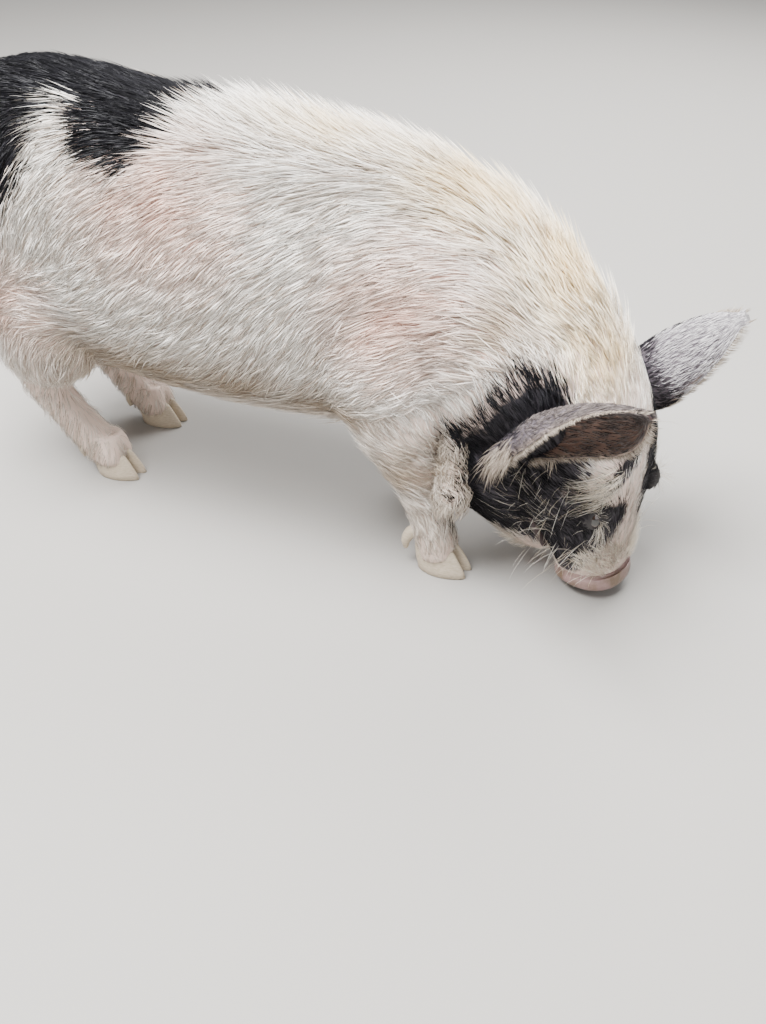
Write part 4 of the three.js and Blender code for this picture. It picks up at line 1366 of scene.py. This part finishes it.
# Long pale hair on each side of the face: name, centre and half sizes of the place it grows from on the
# left side of the head, the way it lies, its lengths, how far it stands off, its width, and its number on
# the right and on the left
SWEEPS = (
    ("brow_hair", (104, 30, -12), (20, 13, 16), (0.15, 1.0, -0.5), (20, 44), 6, 0.32, (220, 36)),
    ("muzzle_hair", (198, 20, -18), (18, 22, 24), (-0.8, 0.5, -0.35), (12, 20), 6, 0.45, (420, 420)),
    ("chin_hair", (206, 22, -106), (14, 22, 16), (-1.0, 0.3, -0.3), (12, 22), 6, 0.4, (140, 140)),
    ("cheek_hair", (150, 56, -70), (34, 22, 34), (-0.7, 0.4, -0.7), (22, 40), 6, 0.2, (34, 34)),
)


def in_patch(p, centre, radii, side):
    """1 for points inside an ellipsoid on one side of the head, 0 for the others."""
    f, s, u = head_axes(p)
    off = ((f - centre[0]) / radii[0]) ** 2 + ((s * side - centre[1]) / radii[1]) ** 2
    return (off + ((u - centre[2]) / radii[2]) ** 2 < 1) * 1.0


def lash(at, draw):
    """A hair from the edge of an eye's upper lid, bent down the face."""
    _, corner, rise = eye_axes(at)
    a = math.pi * draw(0.05, 0.95)
    spoke = lid_spoke(at, a, draw(0, 0.12))
    root = on_head(*at) + spoke * EYE_RADIUS
    forward = 0.2 + 0.5 * math.cos(a) + draw(-0.4, 0.4)
    way = (spoke * 0.8 + corner * forward + rise * draw(-0.5, 0.5)).normalized()
    reach = draw(14, 30)
    bend = HEAD_F * draw(-0.2, 0.7) - HEAD_U * draw(0.2, 1.0) + HEAD_S * draw(-0.3, 0.3)
    return (root, root + way * reach * 0.35, root + (way * 0.65 + bend * 0.15) * reach,
            root + (way * 0.8 + bend * 0.5) * reach)


def lid_hair(at, draw):
    """A short hair that lies over a lid, away from its edge."""
    a = draw(0, 2 * math.pi)
    turn = draw(0.06, 0.8)
    spoke = lid_spoke(at, a, turn)
    away = (lid_spoke(at, a, min(1, turn + 0.3)) - spoke).normalized()
    root = on_head(*at) + spoke * (EYE_RADIUS + 1 + 3 * turn)
    way = (away + spoke * draw(0.25, 0.6) - HEAD_F * 0.3).normalized()
    reach = draw(6, 12)
    return root, root + way * reach * 0.5, root + (way - HEAD_F * 0.2) * reach


def whisker(side, draw):
    """A thin hair that stands out from the muzzle or the jaw and droops."""
    f = draw(90, 216)
    s = side * draw(20, 60) * (1 - 0.35 * max(0, (f - 150) / 70))
    root = on_head(f, s, draw(-96, -20))
    out = HEAD_S * side * draw(0.6, 1) + HEAD_U * draw(-0.4, 0.5) - HEAD_F * draw(-0.3, 0.6)
    out.normalize()
    reach = draw(18, 46)
    fall = Vector((0, 0, -1))
    return (root, root + out * reach * 0.4, root + (out * 0.75 + fall * 0.06) * reach,
            root + (out + fall * 0.2) * reach)


def ear_base_hair(ear, draw):
    """A hair from the root of an ear, swept forward over it."""
    t = draw(-0.04, 0.26)
    share = draw(0.55, 1) * (1 if draw() < 0.75 else -1)
    _, _, along, opening, across = ear_axes(ear, t)
    root = ear_place(ear, t, share, draw() < 0.5, -0.5)
    sweep = across * math.copysign(1, share) * draw(0.1, 0.5) + opening * draw(-0.2, 0.5)
    sweep = (sweep + HEAD_F * draw(0.3, 1.0) - along * draw(0.0, 0.4)).normalized()
    reach = draw(16, 34)
    curl = HEAD_F * 0.4 - along * draw(-0.4, 0.6)
    return root, root + sweep * reach * 0.5, root + (sweep * 0.8 + curl * 0.4) * reach


# Hair that hangs from a tube: how far along it the roots lie, how deep they start, the lengths, how much
# the hairs lean ahead and aside, and each bend's share out, share down and share of the length
WATTLE_HAIR_FORM = ((0.02, 0.99), 1, (10, 20), (-0.3, 0.1), (-0.2, 0.2),
                    ((0.75, 0.8, 0.45), (0.3, 1.0, 0.75), (0.1, 1.0, 1.0)))
TAIL_HAIR_FORM = ((0.55, 0.99), 1.5, (26, 44), (-0.15, 0.1), (-0.12, 0.12),
                  ((0.35, 1.0, 0.5), (0.2, 1.0, 1.0)))


def hanging_hair(flesh, form, draw):
    """A hair that leaves a tube and turns down along it."""
    along, depth, lengths, ahead, aside, bends = form
    t, angle = draw(*along), draw(0, 2 * math.pi)
    root = flesh.point(t, angle, -depth)
    out = (flesh.point(t, angle) - flesh.point(t, angle + math.pi)).normalized()
    reach = draw(*lengths)
    down = Vector((draw(*ahead), draw(*aside), -1))
    return root, *(root + (out * a + down * b).normalized() * (reach * share) for a, b, share in bends)


def face_sweeps(skin, chance):
    """The long pale hair of brow, muzzle, chin and cheeks, which follows the skin."""
    tree = BVHTree.FromObject(skin, bpy.context.evaluated_depsgraph_get())
    for name, centre, radii, lie, lengths, lift, width, counts in SWEEPS:
        for side, place, count in ((-1, "right", counts[0]), (1, "left", counts[1])):
            roots, normals = scatter(skin.data, count, chance, lambda p, n: in_patch(p, centre, radii, side))
            way = F_ROW * lie[0] + S_ROW * lie[1] * side + U_ROW * lie[2]
            lies = along_skin(unit(way + chance.source.normal(0, SWEEP_SPREAD, (count, 3))), normals)
            reach = chance.spread(count, *lengths)
            lifts = lift * chance.spread(count, 0.4, 1.4)
            centres, across = walk(roots, normals, lies, reach, lifts, chance.bell(count, 0.2), tree, 3)
            widths = width * chance.spread(count, 0.7, 1.2)
            uv = skin_unwrap(to_pig(roots))
            finish = material("pale")
            obj = blades(f"{name}_{place}", centres, across, normals, widths, finish, chance, roots, uv)
            own(obj, "coat")


class PIG_OT_long_hairs(bpy.types.Operator):
    """Place lashes, whiskers, and the long hair of lids, face, ear roots, wattles and tail"""
    bl_idname = "pig.long_hairs"
    bl_label = "Long hairs"

    def execute(self, context):
        chance = Chance(LONG_HAIR_SEED)
        draw = chance.source.uniform
        lashes, lid_hairs = [], []
        for at in EYES.values():
            lashes += [lash(at, draw) for _ in range(LASHES)]
            lid_hairs += [lid_hair(at, draw) for _ in range(LID_HAIRS)]
        strands("lashes", lashes, 0.18, "pale", chance)
        strands("lid_hair", lid_hairs, 0.5, "black", chance)
        whiskers = [whisker(-1 if k % 2 else 1, draw) for k in range(WHISKERS)]
        strands("whiskers", whiskers, 0.28, "pale", chance)
        face_sweeps(bpy.data.objects["skin"], chance)
        ear_base, on_wattles = [], []
        for name, count in EAR_BASE_HAIRS.items():
            ear_base += [ear_base_hair(EARS[name], draw) for _ in range(count)]
        strands("ear_base_hair", ear_base, 0.45, "ear_rim_hair", chance)
        for root, out in WATTLES.values():
            flesh = wattle_flesh(root, out)
            on_wattles += [hanging_hair(flesh, WATTLE_HAIR_FORM, draw) for _ in range(WATTLE_HAIRS)]
        strands("wattle_hair", on_wattles, 0.5, "wattle_hair", chance)
        on_tail = [hanging_hair(TAIL, TAIL_HAIR_FORM, draw) for _ in range(TAIL_HAIRS)]
        strands("tail_tuft", on_tail, 1.0, "pale", chance)
        return {"FINISHED"}


# Area lights, in metres on the frame's axes: name, place, size, and power as a share of the main light's
STUDIO_LIGHTS = (
    ("main light", (-0.5, -0.5, 2.3), 1.6, 1.0),
    ("fill light", (1.5, -1.5, 1.2), 2.0, 0.08),
    ("back light", (0.3, 1.8, 1.7), 1.6, 0.3),
)
LIT_PLACE = Vector((0, 0, 0.2))
SKY_COLOUR = (0.92, 0.95, 1.0, 1)
SKY_STRENGTH = 0.24
CAMERA_PLACE = (420.5, -773.8, 645)
CAMERA_TURN = math.radians(22)
CAMERA_TILT = math.radians(38)
SENSOR_WIDTH = 36
LENS = 35.16


def studio_light(name, place, size, power):
    light = bpy.data.lights.new(name, "AREA")
    light.energy = power
    light.size = size
    obj = bpy.data.objects.new(name, light)
    obj.location = place
    obj.rotation_euler = (LIT_PLACE - Vector(place)).to_track_quat("-Z", "Y").to_euler()
    return obj


def studio_camera():
    """A camera that looks down on the pig's right side, from near its head."""
    camera = bpy.data.cameras.new("camera")
    camera.sensor_width = SENSOR_WIDTH
    camera.lens = LENS
    view = bpy.data.objects.new("camera", camera)
    view.location = placed(CAMERA_PLACE)
    level = math.cos(CAMERA_TILT)
    ahead = Vector((-math.sin(CAMERA_TURN) * level, math.cos(CAMERA_TURN) * level, -math.sin(CAMERA_TILT)))
    view.rotation_euler = ahead.to_track_quat("-Z", "Y").to_euler()
    return view


class PIG_OT_stage(bpy.types.Operator):
    """Set the floor, the lights and the camera"""
    bl_idname = "pig.stage"
    bl_label = "Stage"

    def execute(self, context):
        scene, stage = context.scene, context.scene.pig_stage
        bm = bmesh.new()
        bmesh.ops.create_grid(bm, x_segments=1, y_segments=1, size=6)
        floor_material, _, shader = plain_material("floor", 0.8)
        shader.inputs["Base Color"].default_value = (*stage.floor, 1)
        floor = mesh_object("floor", bm, floor_material)
        world = bpy.data.worlds.new("studio")
        scene.world = world
        world.use_nodes = True
        background = world.node_tree.nodes["Background"]
        background.inputs["Color"].default_value = SKY_COLOUR
        background.inputs["Strength"].default_value = SKY_STRENGTH
        for name, place, size, share in STUDIO_LIGHTS:
            scene.collection.objects.link(studio_light(name, place, size, stage.key * share))
        view = studio_camera()
        scene.collection.objects.link(view)
        scene.camera = view
        return {"FINISHED"}


PIECES = (
    PIG_OT_skin, PIG_OT_ears, PIG_OT_snout, PIG_OT_lips, PIG_OT_eyes, PIG_OT_claws, PIG_OT_coat,
    PIG_OT_ear_hair, PIG_OT_long_hairs, PIG_OT_stage,
)
GROUPS = {"pig_sizes": PigSizes, "pig_colours": PigColours, "pig_stage": PigStage}


class PIG_PT_panel(bpy.types.Panel):
    """Lists the pig's pieces"""
    bl_idname = "PIG_PT_panel"
    bl_label = "Pig"
    bl_space_type = "VIEW_3D"
    bl_region_type = "UI"
    bl_category = "Pig"

    def draw(self, context):
        for name, group in GROUPS.items():
            for key in group.__annotations__:
                self.layout.prop(getattr(context.scene, name), key)
        for piece in PIECES:
            self.layout.operator(piece.bl_idname)


CLASSES = (*GROUPS.values(), *PIECES, PIG_PT_panel)


def register():
    for cls in CLASSES:
        bpy.utils.register_class(cls)
    for name, group in GROUPS.items():
        setattr(bpy.types.Scene, name, PointerProperty(type=group))


def unregister():
    for name in GROUPS:
        delattr(bpy.types.Scene, name)
    for cls in reversed(CLASSES):
        bpy.utils.unregister_class(cls)


def main():
    register()
    for piece in PIECES:
        group, name = piece.bl_idname.split(".")
        getattr(getattr(bpy.ops, group), name)()


if __name__ == "__main__":
    main()
